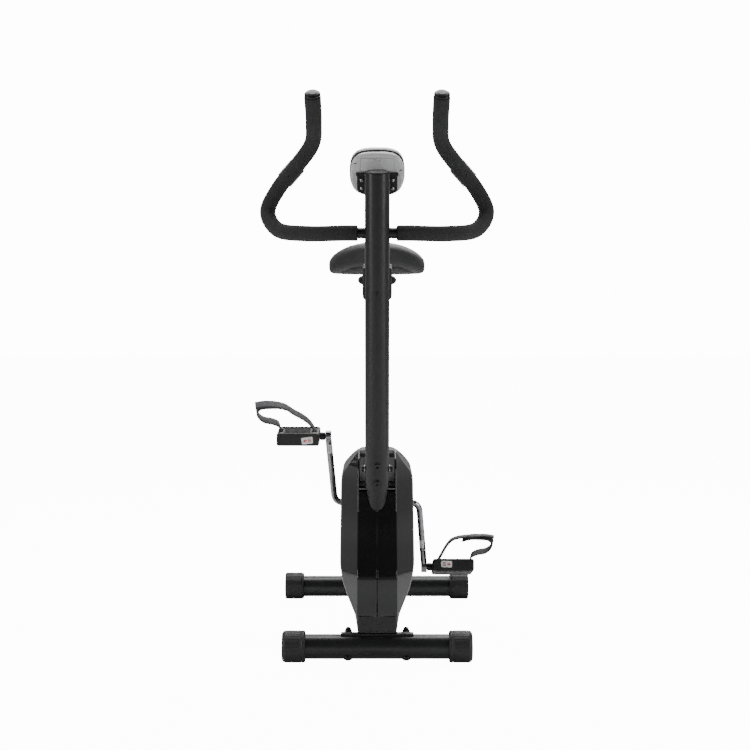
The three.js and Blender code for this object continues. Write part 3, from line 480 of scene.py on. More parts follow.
def tube(path, radius, sides=24, section=None, hint=None, rounding=0.0, size=None, ring=False):
    """A skin along a path. radius is a number or a function of the share of its length.

    section, if given, gives the flat points of the skin at a share.
    """
    count = len(path)
    tangents = []
    for i in range(count):
        before = path[i - 1] if ring or i > 0 else path[0]
        after = path[(i + 1) % count] if ring or i < count - 1 else path[-1]
        tangents.append((after - before).normalized())
    u, v, _ = basis(tangents[0], hint)
    travelled = [0.0]
    for a, b in zip(path, path[1:]):
        travelled.append(travelled[-1] + (b - a).length)
    total = travelled[-1]
    size = size or (radius(0.5) if callable(radius) else radius)
    rings = []

    def add_row(centre, u, v, share, back=0.0):
        scale = (size - back) / size
        if section:
            points = section(share)
        else:
            points = circle(radius(share) if callable(radius) else radius, sides)
        rings.append([centre + (u * x + v * y) * scale for x, y in points])

    for i in range(count):
        w = tangents[i]
        u = (u - w * u.dot(w)).normalized()
        v = w.cross(u)
        share = travelled[i] / total
        if rounding and i in (0, count - 1):
            # Each end is rounded over a quarter turn, drawn from its middle outwards or the other way.
            inward = w * rounding * (1 if i == 0 else -1)
            for k in (4, 3, 2, 1, 0) if i == 0 else (0, 1, 2, 3, 4):
                a = math.pi / 2 * k / 4
                add_row(path[i] + inward * (1 - math.sin(a)), u, v, 0 if i == 0 else 1,
                        rounding * (1 - math.cos(a)))
        elif rounding * 1.2 < travelled[i] < total - rounding * 1.2 or not rounding:
            add_row(path[i], u, v, share)
    verts, rows = stack(rings)
    if ring:
        rows.append(rows[0])
    return skin_rows(verts, rows, caps=not ring)


def inset(outline, distance):
    count = len(outline)
    area = sum(outline[i][0] * outline[(i + 1) % count][1] - outline[(i + 1) % count][0] * outline[i][1]
               for i in range(count))
    side = 1 if area > 0 else -1
    out = []
    for i in range(count):
        a, b, c = (Vector(outline[i - 1]), Vector(outline[i]), Vector(outline[(i + 1) % count]))
        e1, e2 = (b - a), (c - b)
        if e1.length < 1e-9 or e2.length < 1e-9:
            out.append((b.x, b.y))
            continue
        e1.normalize()
        e2.normalize()
        n1 = Vector((-e1.y, e1.x)) * side
        n2 = Vector((-e2.y, e2.x)) * side
        m = n1 + n2
        m = m.normalized() if m.length > 1e-6 else n1
        q = b + m * (distance / max(m.dot(n1), 0.6))
        out.append((q.x, q.y))
    return out


def prism(outline, place, low, high, edge=0.8, steps=3):
    """An outline given thickness, with rounded rims; place(x, y, height) says where a point goes."""
    quarter = [math.pi / 2 * k / steps for k in range(steps + 1)]
    bottom = [(low + edge * (1 - math.cos(a)), edge * (1 - math.sin(a))) for a in quarter]
    top = [(high - edge * (1 - math.cos(a)), edge * (1 - math.sin(a))) for a in reversed(quarter)]
    levels = bottom + top if edge > 0 else [(low, 0), (high, 0)]
    rings = []
    for height, back in levels:
        ring = inset(outline, back) if back > TINY else outline
        rings.append([Vector(place(x, y, height)) for x, y in ring])
    return skin_rows(*stack(rings))


def skin_rows(verts, rows, caps=True):
    faces = []
    for a, b in zip(rows, rows[1:]):
        for i in range(len(a)):
            j = (i + 1) % len(a)
            faces.append((a[i], a[j], b[j], b[i]))
    if caps:
        faces.append(tuple(reversed(rows[0])))
        faces.append(tuple(rows[-1]))
    return verts, faces


def merge(*parts):
    verts, faces = [], []
    for v, f in parts:
        start = len(verts)
        verts += list(v)
        faces += [tuple(i + start for i in face) for face in f]
    return verts, faces


def turned(shape, matrix):
    return [matrix @ Vector(p) for p in shape[0]], shape[1]


def mirrored(shape):
    return [Vector((-p[0], p[1], p[2])) for p in shape[0]], [tuple(reversed(f)) for f in shape[1]]


def rect(x0, x1, y0, y1, r=1.5, steps=4):
    return fillet([(x0, y0), (x1, y0), (x1, y1), (x0, y1)], r, steps)


def box(x0, x1, y0, y1, z0, z1, r=1.5, edge=0.8):
    return prism(rect(x0, x1, y0, y1, r), lambda x, y, h: Vector((x, y, h)), z0, z1, edge)


def plate_yz(outline, x0, x1, edge=0.6):
    return prism(outline, lambda y, z, h: Vector((h, y, z)), x0, x1, edge)


def along_y(x, z, h):
    return Vector((x, h, z))


def on_plane(base, u, v, w):
    return lambda x, y, h: base + u * x + v * y + w * h


def from_flat(t):
    """The angle from the middle of the nearest flat of a six-sided piece."""
    return (t % (math.pi / 3)) - math.pi / 6


def outwards(side, near, far):
    return sorted((side * near, side * far))


def raw(name, shape):
    mesh = bpy.data.meshes.new(name)
    mesh.from_pydata([to_frame(p) for p in shape[0]], [], shape[1])
    bm = bmesh.new()
    bm.from_mesh(mesh)
    bmesh.ops.remove_doubles(bm, verts=bm.verts, dist=1e-6)
    bmesh.ops.recalc_face_normals(bm, faces=bm.faces)
    bm.to_mesh(mesh)
    bm.free()
    obj = bpy.data.objects.new(name, mesh)
    bpy.context.scene.collection.objects.link(obj)
    return obj


def bake(obj):
    """Keeps the shape that an object's modifiers give, and drops the modifiers."""
    graph = bpy.context.evaluated_depsgraph_get()
    mesh = bpy.data.meshes.new_from_object(obj.evaluated_get(graph))
    obj.modifiers.clear()
    obj.data = mesh
    return obj


def carve(obj, *shapes):
    cutters = []
    for i, shape in enumerate(shapes):
        cutter = raw(f"cutter_{i}", shape)
        cutters.append(cutter)
        modifier = obj.modifiers.new("cut", "BOOLEAN")
        modifier.operation = "DIFFERENCE"
        modifier.solver = "EXACT"
        modifier.object = cutter
    bake(obj)
    for cutter in cutters:
        bpy.data.objects.remove(cutter)
    return obj


def finish_piece(obj, body, material, nodes=(), crease=38, even=True):
    mesh = obj.data
    mesh.materials.clear()
    mesh.materials.append(material)
    mesh.shade_smooth()
    mesh.set_sharp_from_angle(angle=math.radians(crease))
    if even:
        modifier = obj.modifiers.new("even", "WEIGHTED_NORMAL")
        modifier.keep_sharp = True
    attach(obj, body)
    if nodes:
        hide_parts(*nodes)
    return obj


def make(name, shape, body, slot, material, nodes=(), crease=38, even=True):
    return finish_piece(raw(name, shape), body, material, nodes, crease, even)


# ---------------------------------------------------------------- frame and feet


WELD_STEP = 1.1
WELD_RADIUS = 2.3


def weld_ring(name, points):
    """A welded seam laid along a closed line, with the ripple of its puddles."""
    line = resample([Vector(p) for p in points] + [Vector(points[0])], WELD_STEP)[:-1]
    total = len(line)
    bead = tube(line, lambda share: WELD_RADIUS + 0.28 * math.sin(share * total * 1.9), 10, ring=True,
                size=WELD_RADIUS)
    make(name, bead, *WELD)


def weld_seam(name, points, radius, ripple, turns):
    """A welded seam along an open line."""
    bead = tube(spline(points, WELD_STEP), lambda share: radius + ripple * math.sin(share * turns), 8,
                size=radius)
    make(name, bead, *WELD)


def frame_pieces():
    beam = prism(rect(-20, 20, 58, 98, 5, 5), along_y, -304, 335, 1.0)
    make("frame_beam", beam, *STEEL, ("main_frame",))
    plug = merge(prism(rect(-18.5, 18.5, 59.5, 96.5, 4, 5), along_y, 334, 337.2, 0.8),
                 prism(rect(-12, 12, 66, 90, 3, 5), along_y, 336, 338.2, 0.6))
    make("beam_plug", plug, *PLASTIC)

    make("frame_stub", tube(spline(STUB_LINE, 5), STUB_RADIUS, 56), *STEEL)

    make("seat_tube", pipe(25.4, 23.2, SEAT_FOOT, SEAT_AXIS, SEAT_TUBE_LENGTH, 64), *STEEL)
    gusset = fillet([(178, 90), (262, 90), (262, 101), (207, 176), (192, 176)], 4)
    make("seat_gusset", plate_yz(gusset, -2.5, 2.5, 0.7), *STEEL)

    foot = []
    for i in range(72):
        t = 2 * math.pi * i / 72
        x = 26.2 * math.cos(t)
        drop = max(0, abs(x) - 19.5) * 2.6
        z = 99.5 - drop
        centre = SEAT_FOOT + SEAT_AXIS * ((z - SEAT_FOOT.z) / SEAT_AXIS.z)
        foot.append(Vector((x, centre.y + 26.6 * math.sin(t) / SEAT_AXIS.z, z)))
    weld_ring("weld_seat_tube", foot)
    for side, hand in reversed(SIDES):
        line = [(side * 3.2, y, z) for y, z in ((200, 170), (195, 150), (190, 125), (184, 102))]
        weld_seam(f"weld_gusset_{hand}", line, 1.5, 0.2, 95)

    shell = pipe(25, 21.5, AXLE - X * 34, X, 68, 48)
    cradle = fillet([(-160, 92), (50, 92), (42, 200), (24, 296), (0, 316), (-36, 322), (-62, 312),
                     (-68, 262), (-122, 232), (-130, 196), (-160, 120)], 6)
    strut_start, strut_end = Vector((0, 40, 92)), Vector((0, 4, 272))
    strut = strut_end - strut_start
    hidden = merge(shell, plate_yz(cradle, -30, -25), rod(16, strut_start, strut, strut.length, 32),
                   rod(4, (-26, -49, 307), X, 32, 20), box(-26, -18, -158, 48, 76, 96))
    make("drive_cradle", hidden, *STEEL)

    for word, foot in (("front", FRONT_FOOT), ("rear", REAR_FOOT)):
        arc = [math.radians(20 + 90 * i / 24) for i in range(25)]
        outer, inner = FOOT_RADIUS + GAP + FOOT_PLATE, FOOT_RADIUS + GAP
        outline = [(foot["y"] + outer * math.cos(a), foot["z"] + outer * math.sin(a)) for a in arc]
        outline += [(foot["y"] + inner * math.cos(a), foot["z"] + inner * math.sin(a))
                    for a in reversed(arc)]
        make(f"{word}_foot_plate", plate_yz(outline, -75, 75, 1.0), *STEEL)
        half = foot["half"] - 6
        make(f"{word}_foot_tube", pipe(FOOT_RADIUS, 23.5, (-half, foot["y"], foot["z"]), X, 2 * half, 72,
                                       0.5), *STEEL, (f"{word}_stabilizer",))
        inward = 1 if word == "front" else -1
        start = foot["y"] + inward * 27
        for side, hand in reversed(SIDES):
            seam = [(side * 21, start + inward * k, foot["z"] + 31 + 0.12 * k) for k in range(0, 30, 3)]
            weld_seam(f"weld_{word}_{hand}", seam, 2.0, 0.25, 50)


def hex_shape(flat_radius, low, high):
    """Makes the part of a turned piece between two distances six-sided."""
    def shape(radius, t, along):
        if low <= along <= high and radius >= flat_radius * 0.9:
            return min(radius, flat_radius / math.cos(from_flat(t)) * 0.9995)
        return radius
    return shape


def foot_bolts():
    reach = FOOT_RADIUS + GAP + FOOT_PLATE
    head = fillet([(-30.2, 0), (-29.6, 4.5), (-27.6, 8.2), (-25.7, 9), (-25.7, 4), (reach, 4)], 1.0, 4,
                  closed=False)
    washer = fillet([(reach + 0.1, 4), (reach + 0.1, 9), (reach + 1.6, 9), (reach + 1.6, 4)], 0.4, 2,
                    closed=False)
    nut = fillet([(reach + 1.6, 4), (reach + 1.6, 7.6), (reach + 6.6, 7.6), (reach + 7.6, 6.1),
                  (reach + 9.6, 5.9), (reach + 12.4, 3.8), (reach + 13.4, 0)], 0.9, 4, closed=False)
    for word, foot in (("front", FRONT_FOOT), ("rear", REAR_FOOT)):
        for side, hand in SIDES:
            start = (side * FOOT_BOLT_X, foot["y"], foot["z"])
            bolt = merge(lathe(head, start, FOOT_BOLT_AXIS, 36), lathe(washer, start, FOOT_BOLT_AXIS, 36),
                         lathe(nut, start, FOOT_BOLT_AXIS, 72, shape=hex_shape(6.6, reach + 1.5, reach
                                                                               + 6.9)))
            nodes = (f"front_foot_bolt_{hand}",) if word == "front" else ()
            make(f"{word}_bolt_{hand}", bolt, *BOLT, nodes, crease=30)


def front_cap():
    half, y, z = FRONT_FOOT["half"], FRONT_FOOT["y"], FRONT_FOOT["z"]
    mouth = half - FRONT_FOOT["cap"]

    def ribs(radius, t, along):
        if mouth + 8 < along < half - 9 and radius > 31:
            return radius - 0.55 * (0.5 + 0.5 * math.cos(30 * t)) ** 3
        return radius

    line = [(mouth, 26.1), (mouth, 30.8), (mouth + 2, 32.6), (mouth + 5.5, 33), (mouth + 7, 32.2),
            (mouth + 9, 32.2)]
    line += [(mouth + 9 + k, 32.9) for k in (1, 8, 16, 24)]
    line += [(half - 7, 32.8), (half - 3, 31.4), (half, 27.5), (half, 20), (half - 1.4, 18.5),
             (half - 1.4, 0)]
    for side, hand in SIDES:
        cap = lathe(fillet(line, 1.2, 3, closed=False), (0, y, z), X * side, 240, shape=ribs)
        make(f"front_end_{hand}", cap, *PLASTIC, (f"front_cap_{hand}",), crease=50)


def rear_cap():
    half, y, z = REAR_FOOT["half"], REAR_FOOT["y"], REAR_FOOT["z"]
    mouth = half - REAR_FOOT["cap"]
    reach, middle = 32 / math.cos(math.pi / 16), z + 1
    outline = fillet([(y + reach * math.cos((i + 0.5) * math.pi / 8), middle
                       + reach * math.sin((i + 0.5) * math.pi / 8)) for i in range(16)], 3.0, 4)
    for side, hand in SIDES:
        def place(py, pz, h):
            return Vector((side * h, py, pz))
        body = prism(outline, place, mouth + 3.4, half, 3.2, 5)
        lip = prism(inset(outline, 0.9), place, mouth, mouth + 4, 1.2, 4)
        badge = lathe(fillet([(half - 0.5, 0), (half - 0.5, 17), (half + 0.7, 17), (half + 0.7, 14),
                              (half + 0.1, 13), (half + 0.1, 0)], 0.4, 3, closed=False), (0, y, middle),
                      X * side, 64)
        starts = [mouth + 9 + 4.6 * k for k in range(7)]
        ridges = [prism(inset(outline, -0.25), place, at, at + 1.6, 0.5, 3) for at in starts]
        make(f"rear_end_{hand}", merge(body, lip, badge, *ridges), f"rear_leveler_{hand}", "black_plastic",
             moulded, (f"rear_cap_{hand}",), crease=45)


# ---------------------------------------------------------------- handlebar post


def face(x, up, out):
    """A point on the console: x across, up its face and out towards the rider."""
    rise = Vector((0, -math.sin(CONSOLE_TILT), math.cos(CONSOLE_TILT)))
    rider = Vector((0, math.cos(CONSOLE_TILT), math.sin(CONSOLE_TILT)))
    return CONSOLE_PLACE - X * x + rise * up + rider * out


def handlebar_post():
    make("post_tube", pipe(POST_RADIUS, 23.4, POST_FOOT, POST_AXIS, POST_LENGTH, 96, 0.5), *STEEL,
         ("handlebar_post",))
    top = POST_FOOT + POST_AXIS * POST_LENGTH
    plug = fillet([(-12, 0), (-12, 22.8), (0.3, 22.8), (0.3, 25.2), (2.4, 24.8), (4.6, 19), (5.6, 10),
                   (6, 0)], 1.0, 4, closed=False)
    cap = raw("post_plug", lathe(plug, top, POST_AXIS, 64))
    door_room = rect(-36, 36, 15.5, 40, 1)
    carve(cap, prism(door_room, on_plane(top, X, -POST_FRONT, POST_AXIS), 0.9, 14, 0))
    finish_piece(cap, "bike", matt_black, ("post_cap",))

    arc = [math.radians(a) for a in range(-90, -271, -10)]
    seat_line = [(-330, 864), (-293.5, 864)]
    seat_line += [(BAR_Y + min(-1.5, BAR_SEAT * math.cos(a)), BAR_Z + BAR_SEAT * math.sin(a)) for a in arc]
    seat_line += [(-293.5, 908), (-330, 908)]
    make("bar_saddle", plate_yz(seat_line, -CLAMP_HALF, CLAMP_HALF, 0.9), *STEEL)
    cap_line = [(BAR_Y + 1.3, BAR_Z - 22)]
    cap_line += [(BAR_Y + max(1.3, BAR_SEAT * math.cos(a)), BAR_Z + BAR_SEAT * math.sin(a))
                 for a in (math.radians(k) for k in range(-90, 91, 10))]
    cap_line += [(BAR_Y + 1.3, BAR_Z + 22), (BAR_Y + 17, BAR_Z + 22), (BAR_Y + 21, BAR_Z + 17),
                 (BAR_Y + 21, BAR_Z - 17), (BAR_Y + 17, BAR_Z - 22)]
    make("bar_clamp", plate_yz(cap_line, -CLAMP_HALF, CLAMP_HALF, 0.9), *STEEL, ("handlebar_clamp",))

    shank = rod(7, (0, BAR_Y + 21.3, BAR_Z), Y, 14, 40)
    grip = lathe(fillet([(-27, 0), (-27, 7.5), (-18, 7.5), (0, 6.6), (18, 7.5), (27, 7.5), (27, 0)], 3.2, 6,
                        closed=False), (0, BAR_Y + 41, BAR_Z), X, 40)
    collar = lathe(fillet([(0, 0), (0, 10.5), (3.5, 10.5), (5, 8.2), (5, 0)], 0.8, 3, closed=False),
                   (0, BAR_Y + 21.3, BAR_Z), Y, 40)
    make("clamp_handle", merge(shank, grip, collar), "clamp_screw", "black_plastic", moulded,
         ("clamp_knob",))

    body = fillet([(-32, -41), (32, -41), (41, -32.5), (41, 2), (-41, 2), (-41, -32.5)], 2.0, 4)
    lip = rect(-43.2, 43.2, 0.6, 7, 1.5)
    bracket = merge(prism(body, face, 0.4, 3.6, 0.6), prism(lip, face, -1.2, 3.6, 0.8),
                    plate_yz(fillet([(-340, 968), (-306.5, 965.5), (-329.5, 1005.5), (-345, 1002)], 2), -12,
                             12))
    make("console_bracket", bracket, "bike", "satin_steel", matt_black)
    away = face(0, 0, -1) - face(0, 0, 0)
    heads, slot_shadows = [], []
    for x in (-31.5, 31.5):
        for up in (-10, -28):
            pan = fillet([(-0.4, 0), (-0.4, 3.6), (0.5, 3.5), (1.5, 2.2), (1.8, 0)], 0.4, 3, closed=False)
            heads.append(lathe(pan, face(x, up, 0.4), away, 28))
            # Dark bars across each screw head: painted shadow for its slots.
            for turn in (20, 110):
                u, v, w = basis(away)
                a = math.radians(turn + x)
                du, dv = u * math.cos(a) + v * math.sin(a), v * math.cos(a) - u * math.sin(a)
                slot_shadows.append(prism(rect(-1.9, 1.9, -0.35, 0.35, 0.1, 2),
                                   on_plane(face(x, up, 0.4), du, dv, w), 1.2, 1.9, 0.05, 1))
        # A dark bar by each pair of screws: painted shadow for a slot in the bracket.
        slot_shadows.append(prism(rect(x - 5, x + 5, -5.4, -3.2, 0.9), face, 0.25, 0.6, 0.05, 1))
    make("bracket_screws", merge(*heads), "bike", "zinc", zinc)
    make("bracket_slot_shadows", merge(*slot_shadows), "bike", "black_plastic", dark)

    ring = fillet([(25.2, 0), (25.2, 4.6), (26.6, 4.2), (27.2, 2.6), (27.2, 0)], 0.4, 3, closed=False)
    make("post_screw", lathe(ring, on_post(TENSION_Z - 9), POST_FRONT, 28), *BOLT)

    bolt_line = fillet([(18, 0), (18, 4), (27.2, 4), (27.2, 6.4), (32.4, 6.4), (32.4, 3.1)], 0.7, 3,
                       closed=False)
    bolt_line += [(29.2, 3.1), (29.2, 0)]
    washer_line = fillet([(25.5, 3.9), (25.5, 8.6), (27.1, 8.6), (27.1, 3.9)], 0.4, 2)

    def socket(radius, t, along):
        if abs(radius - 3.1) < 1e-6:
            return 3.1 / math.cos(from_flat(t)) * 0.95
        return radius

    places = [("front_upper", 405, POST_FRONT), ("front_lower", 368, POST_FRONT), ("side_left", 392, X),
              ("side_right", 392, -X)]
    for word, z, out in places:
        make(f"bolt_{word}", lathe(bolt_line, on_post(z), out, 48, shape=socket), *BOLT,
             (f"post_bolt_{word}",), crease=30)
        make(f"washer_{word}", lathe(washer_line, on_post(z), out, 40, ring=True), "bike",
             "zinc" if "side" in word else "black_bolt", zinc if "side" in word else bolt_black)


# ---------------------------------------------------------------- housing

HOUSING_FLOOR = 64.5
HOUSING_WALL = 0.0026
BEARING_HOLE = 14
FRONT_FLAT_HALF = 40.5
BACK_FLAT_HALF = 34
# Half width, front and back of the housing as (height, place) pairs.
HOUSING_HALF = [(64.5, 40.5), (98, 46), (104, 48.5), (121, 56), (140, 64), (170, 73.5), (205, 78),
                (290, 78.2), (345, 78), (366, 77.2), (377, 73.4), (389, 65.3), (400, 57.3), (412, 48.9),
                (424, 41)]
HOUSING_FRONT = [(64.5, -320), (101, -322), (150, -333), (176, -334), (230, -300), (305, -233), (343, -222),
                 (377, -208), (400, -196), (424, -166)]
HOUSING_BACK = [(64.5, 60), (98, 61), (103, 73), (140, 98), (205, 126), (300, 132), (360, 112), (400, 40),
                (424, -80)]


def smooth_at(points, z):
    """A smooth line through known points that never overshoots them."""
    if z <= points[0][0]:
        return points[0][1]
    if z >= points[-1][0]:
        return points[-1][1]
    slopes = [(b[1] - a[1]) / (b[0] - a[0]) for a, b in zip(points, points[1:])]

    def tangent(i):
        if i in (0, len(points) - 1):
            return slopes[min(i, len(slopes) - 1)]
        a, b = slopes[i - 1], slopes[i]
        return 0 if a * b <= 0 else 2 * a * b / (a + b)

    for i in range(len(slopes)):
        z0, v0 = points[i]
        z1, v1 = points[i + 1]
        if z <= z1:
            h = z1 - z0
            t = (z - z0) / h
            return (v0 * (2 * t ** 3 - 3 * t ** 2 + 1) + tangent(i) * h * (t ** 3 - 2 * t ** 2 + t)
                    + v1 * (3 * t ** 2 - 2 * t ** 3) + tangent(i + 1) * h * (t ** 3 - t ** 2))


def housing_half():
    """The rider's left half as a closed block; its flat side is the joint between the halves."""
    levels = [HOUSING_FLOOR, 66, 70, 78, 88, 96, 98, 99.5, 101, 103, 106, 110]
    levels += [float(z) for z in range(116, 416, 6)]
    levels += [417, 419, 421, 422.6, 423.6, 424]
    rings = []
    for z in levels:
        half = smooth_at(HOUSING_HALF, z)
        front = smooth_at(HOUSING_FRONT, z)
        back = smooth_at(HOUSING_BACK, z)
        flat = min(FRONT_FLAT_HALF, half - 1.5)
        tail = min(BACK_FLAT_HALF, half - 2)
        depth = max(3, min(55, (half - flat) * 1.5 + 4))
        rim = max(0.0, z - 421) ** 2 * 0.22
        half, front, back = half - rim, front + rim, back - rim
        flat, tail = flat - rim, tail - rim
        points = [(0.25, front - 1.8), (1.6, front - 2.95), (flat, front), (half, front + depth),
                  (half, back - 45), (tail, back), (1.6, back), (0.25, back - 1.1)]
        line = fillet(points, [0, 0.8, 3.2, 22, 40, 40, 0.8, 0], 7)
        rings.append([Vector((x, y, z)) for x, y in line])
    return skin_rows(*stack(rings))


def housing():
    recess = plate_yz(fillet([(-420, 343), (-188, 343), (-164, 412), (-164, 450), (-420, 450)],
                             [0, 6, 6, 0, 0], 5), -38, 38, 0)
    tunnel = spline(STUB_LINE, 6)
    tunnel_cut = tube(tunnel, TUNNEL_RADIUS, 64)
    slot = plate_yz([(-220, 410.4), (-158, 410.4), (-158, 417), (-220, 417)], -37, 37, 0)
    bearing_hole = rod(BEARING_HOLE, (30, 0, AXLE.z), X, 60, 48, 0)
    cover_seat = rod(43, (75.2, 0, AXLE.z), X, 10, 72, 0)
    left = raw("shell_left", housing_half())
    carve(left, recess, slot, tunnel_cut, bearing_hole, cover_seat)

    def open_face(f):
        centre = f.calc_center_median() * PER_METRE
        on_joint = all(abs(v.co.x) < 0.3 * MM for v in f.verts)
        if on_joint or all(abs(v.co.z - HOUSING_FLOOR * MM) < 1e-5 for v in f.verts):
            return True
        y, z = centre.y - AXLE_Y * PER_METRE, centre.z - AXLE.z
        if y * y + z * z < BEARING_HOLE ** 2:
            return True
        here = Vector((centre.x, y, centre.z))
        for a, b in zip(tunnel, tunnel[1:]):
            share = min(1, max(0, (here - a).dot(b - a) / (b - a).length_squared))
            if (here - a.lerp(b, share)).length < TUNNEL_RADIUS:
                return True
        return False

    bm = bmesh.new()
    bm.from_mesh(left.data)
    bmesh.ops.delete(bm, geom=[f for f in bm.faces if open_face(f)], context="FACES")
    bm.to_mesh(left.data)
    bm.free()
    wall = left.modifiers.new("wall", "SOLIDIFY")
    wall.thickness = HOUSING_WALL
    wall.offset = -1
    bake(left)
    right = bpy.data.objects.new("shell_right", left.data.copy())
    bpy.context.scene.collection.objects.link(right)
    bm = bmesh.new()
    bm.from_mesh(right.data)
    bmesh.ops.scale(bm, vec=(-1, 1, 1), verts=bm.verts)
    bmesh.ops.reverse_faces(bm, faces=bm.faces)
    bm.to_mesh(right.data)
    bm.free()
    for side, hand, obj in ((1, "left", left), (-1, "right", right)):
        finish_piece(obj, "bike", gloss, (f"housing_{hand}",), crease=32)
        # A thin dark strip across the recess wall: painted shadow for a groove that is not cut.
        groove_shadow_strip = plate_yz(fillet([(-183.9, 357.6), (-182.7, 357.6), (-182.0, 359.8), (-183.2, 359.8)],
                                    0.1, 1), *outwards(side, 1, 37), 0.05)
        make(f"recess_groove_shadow_{hand}", groove_shadow_strip, "bike", "housing_plastic", dark)
        # Grey sheets laid on the recess wall below and above the slot: painted reflection and light on the
        # glossy black wall.
        for word, foot, head in (("low", (-185.8, 350), (-165.0, 409.8)),
                                 ("high", (-164.3, 417.6), (-164.3, 422.8))):
            reflection_sheet = plate_yz([foot, head, (head[0] + 0.7, head[1]), (foot[0] + 0.7, foot[1])],
                             *outwards(side, 0.3, 37.4), 0.1)
            make(f"recess_liner_{word}_{hand}", reflection_sheet, "bike", "housing_plastic", recess_painted_reflection)

        line = [(75.8, 12.6), (75.8, 42), (77.6, 42), (79.2, 38.5), (79.2, 30), (78.7, 29), (78.7, 24),
                (79.2, 23), (79.2, 12.6)]
        make(f"axle_cover_{hand}", lathe(fillet(line, 0.7, 3), (0, 0, AXLE.z), X * side, 96, ring=True),
             "bike", "black_plastic", smooth_plastic, (f"crank_cover_{hand}",))
        if side > 0:
            panel = fillet([(-37.5, 67), (37.5, 67), (38.5, 99), (-38.5, 99)], 3, 4)
            block = prism(panel, along_y, -324.4, -320.6, 1.6, 4)
            make("fairing_panel", block, "bike", "housing_plastic", smooth_plastic)
        screws = []
        for y, z, x in ((60, 200, 78.0), (-150, 150, 66.0), (88, 330, 78.0), (-90, 372, 74.5)):
            cup = fillet([(-1.6, 0), (-1.6, 4.2), (0.35, 4.2), (0.35, 3.0), (-1.0, 2.6), (-1.0, 0)], 0.3, 2,
                         closed=False)
            screws.append(lathe(cup, (side * x, y, z), X * side, 28))
        make(f"shell_screws_{hand}", merge(*screws), *BOLT)


# ---------------------------------------------------------------- crank and pedals


def crank_point(side, distance, x):
    return Vector((side * x, side * distance * math.sin(CRANK_TILT), AXLE.z
                   - side * distance * math.cos(CRANK_TILT)))


def crank():
    ends = {}
    for side in (1, -1):
        eye = crank_point(side, CRANK_LENGTH - 8, EYE_X)
        corner = crank_point(side, 0, ARM_X)
        down = corner + (eye - corner).normalized() * 22
        inward = corner - X * (side * 22)
        arc = [down * (1 - t) ** 2 + corner * (2 * t * (1 - t)) + inward * t ** 2
               for t in (k / 14 for k in range(15))]
        ends[side] = [eye.lerp(down, k / 24) for k in range(24)] + arc
    line = ends[1] + [ends[1][-1].lerp(ends[-1][-1], k / 12) for k in range(1, 12)] + ends[-1][::-1]
    parts = [tube(line, 7.2, 40, hint=X)]
    for side in (1, -1):
        centre = crank_point(side, CRANK_LENGTH, EYE_X)
        ring = fillet([(-6.5, 7.1), (-6.5, 13), (6.5, 13), (6.5, 7.1)], 1.2, 4)
        parts.append(lathe(ring, centre, X, 64, ring=True))
    make("crank_arms", merge(*parts), "crankset", "chrome", chrome, ("crank",))
    for side, hand in SIDES:
        out = (crank_point(side, CRANK_LENGTH, EYE_X) - crank_point(side, 0, ARM_X)).normalized()
        reach = 103 if side > 0 else 136
        middle = crank_point(side, reach, ARM_X + (EYE_X - ARM_X) * reach / CRANK_LENGTH)
        place = on_plane(middle, *basis(out, hint=-Y))
        arc = [math.radians(-66 + 132 * k / 12) for k in range(13)]
        outline = [(7.45 * math.cos(a), 7.45 * math.sin(a)) for a in arc]
        outline += [(7.1 * c / 7.45, 7.1 * s / 7.45) for c, s in reversed(outline)]
        sticker = prism(outline, place, -10, 10, 0.1, 1)
        make(f"arm_label_{hand}", sticker, "crankset", "chrome", label_white)
        mark = []
        for low, high in ((-7, -3.5), (-1.5, 1.5), (3.5, 7)):
            strip = [(a * 7.5 / 7.45, b * 0.5) for a, b in outline[:13]]
            strip += [(a * 0.97, b) for a, b in reversed(strip)]
            mark.append(prism(strip, place, low, high, 0.05, 1))
        make(f"arm_mark_{hand}", merge(*mark), "crankset", "chrome", label_red)


STRAP_STEP = 0.62
STRAP_CURL = [(40, 6), (44, 26), (58, 33), (77, 37), (88, 45), (93, 54), (91, 61), (84, 66.4), (62, 68.6),
              (42, 68.2), (24, 63.5)]
STRAP_LEAN = {"left": ((0.2, 0.66), (0.0, 0.36)), "right": ((0.15, 0.45), (0.15, 0.45))}
STRAP_TOP = {
    "left": [(-37, 8), (-24, 31), (-11, 52), (0, 62.5), (14, 67.5), (30, 70), (50, 71), (77, 72), (97, 69)],
    "right": [(-40, 8), (-25, 30), (-9, 43), (11, 54), (30, 66), (50, 71), (77, 72), (97, 69)],
}


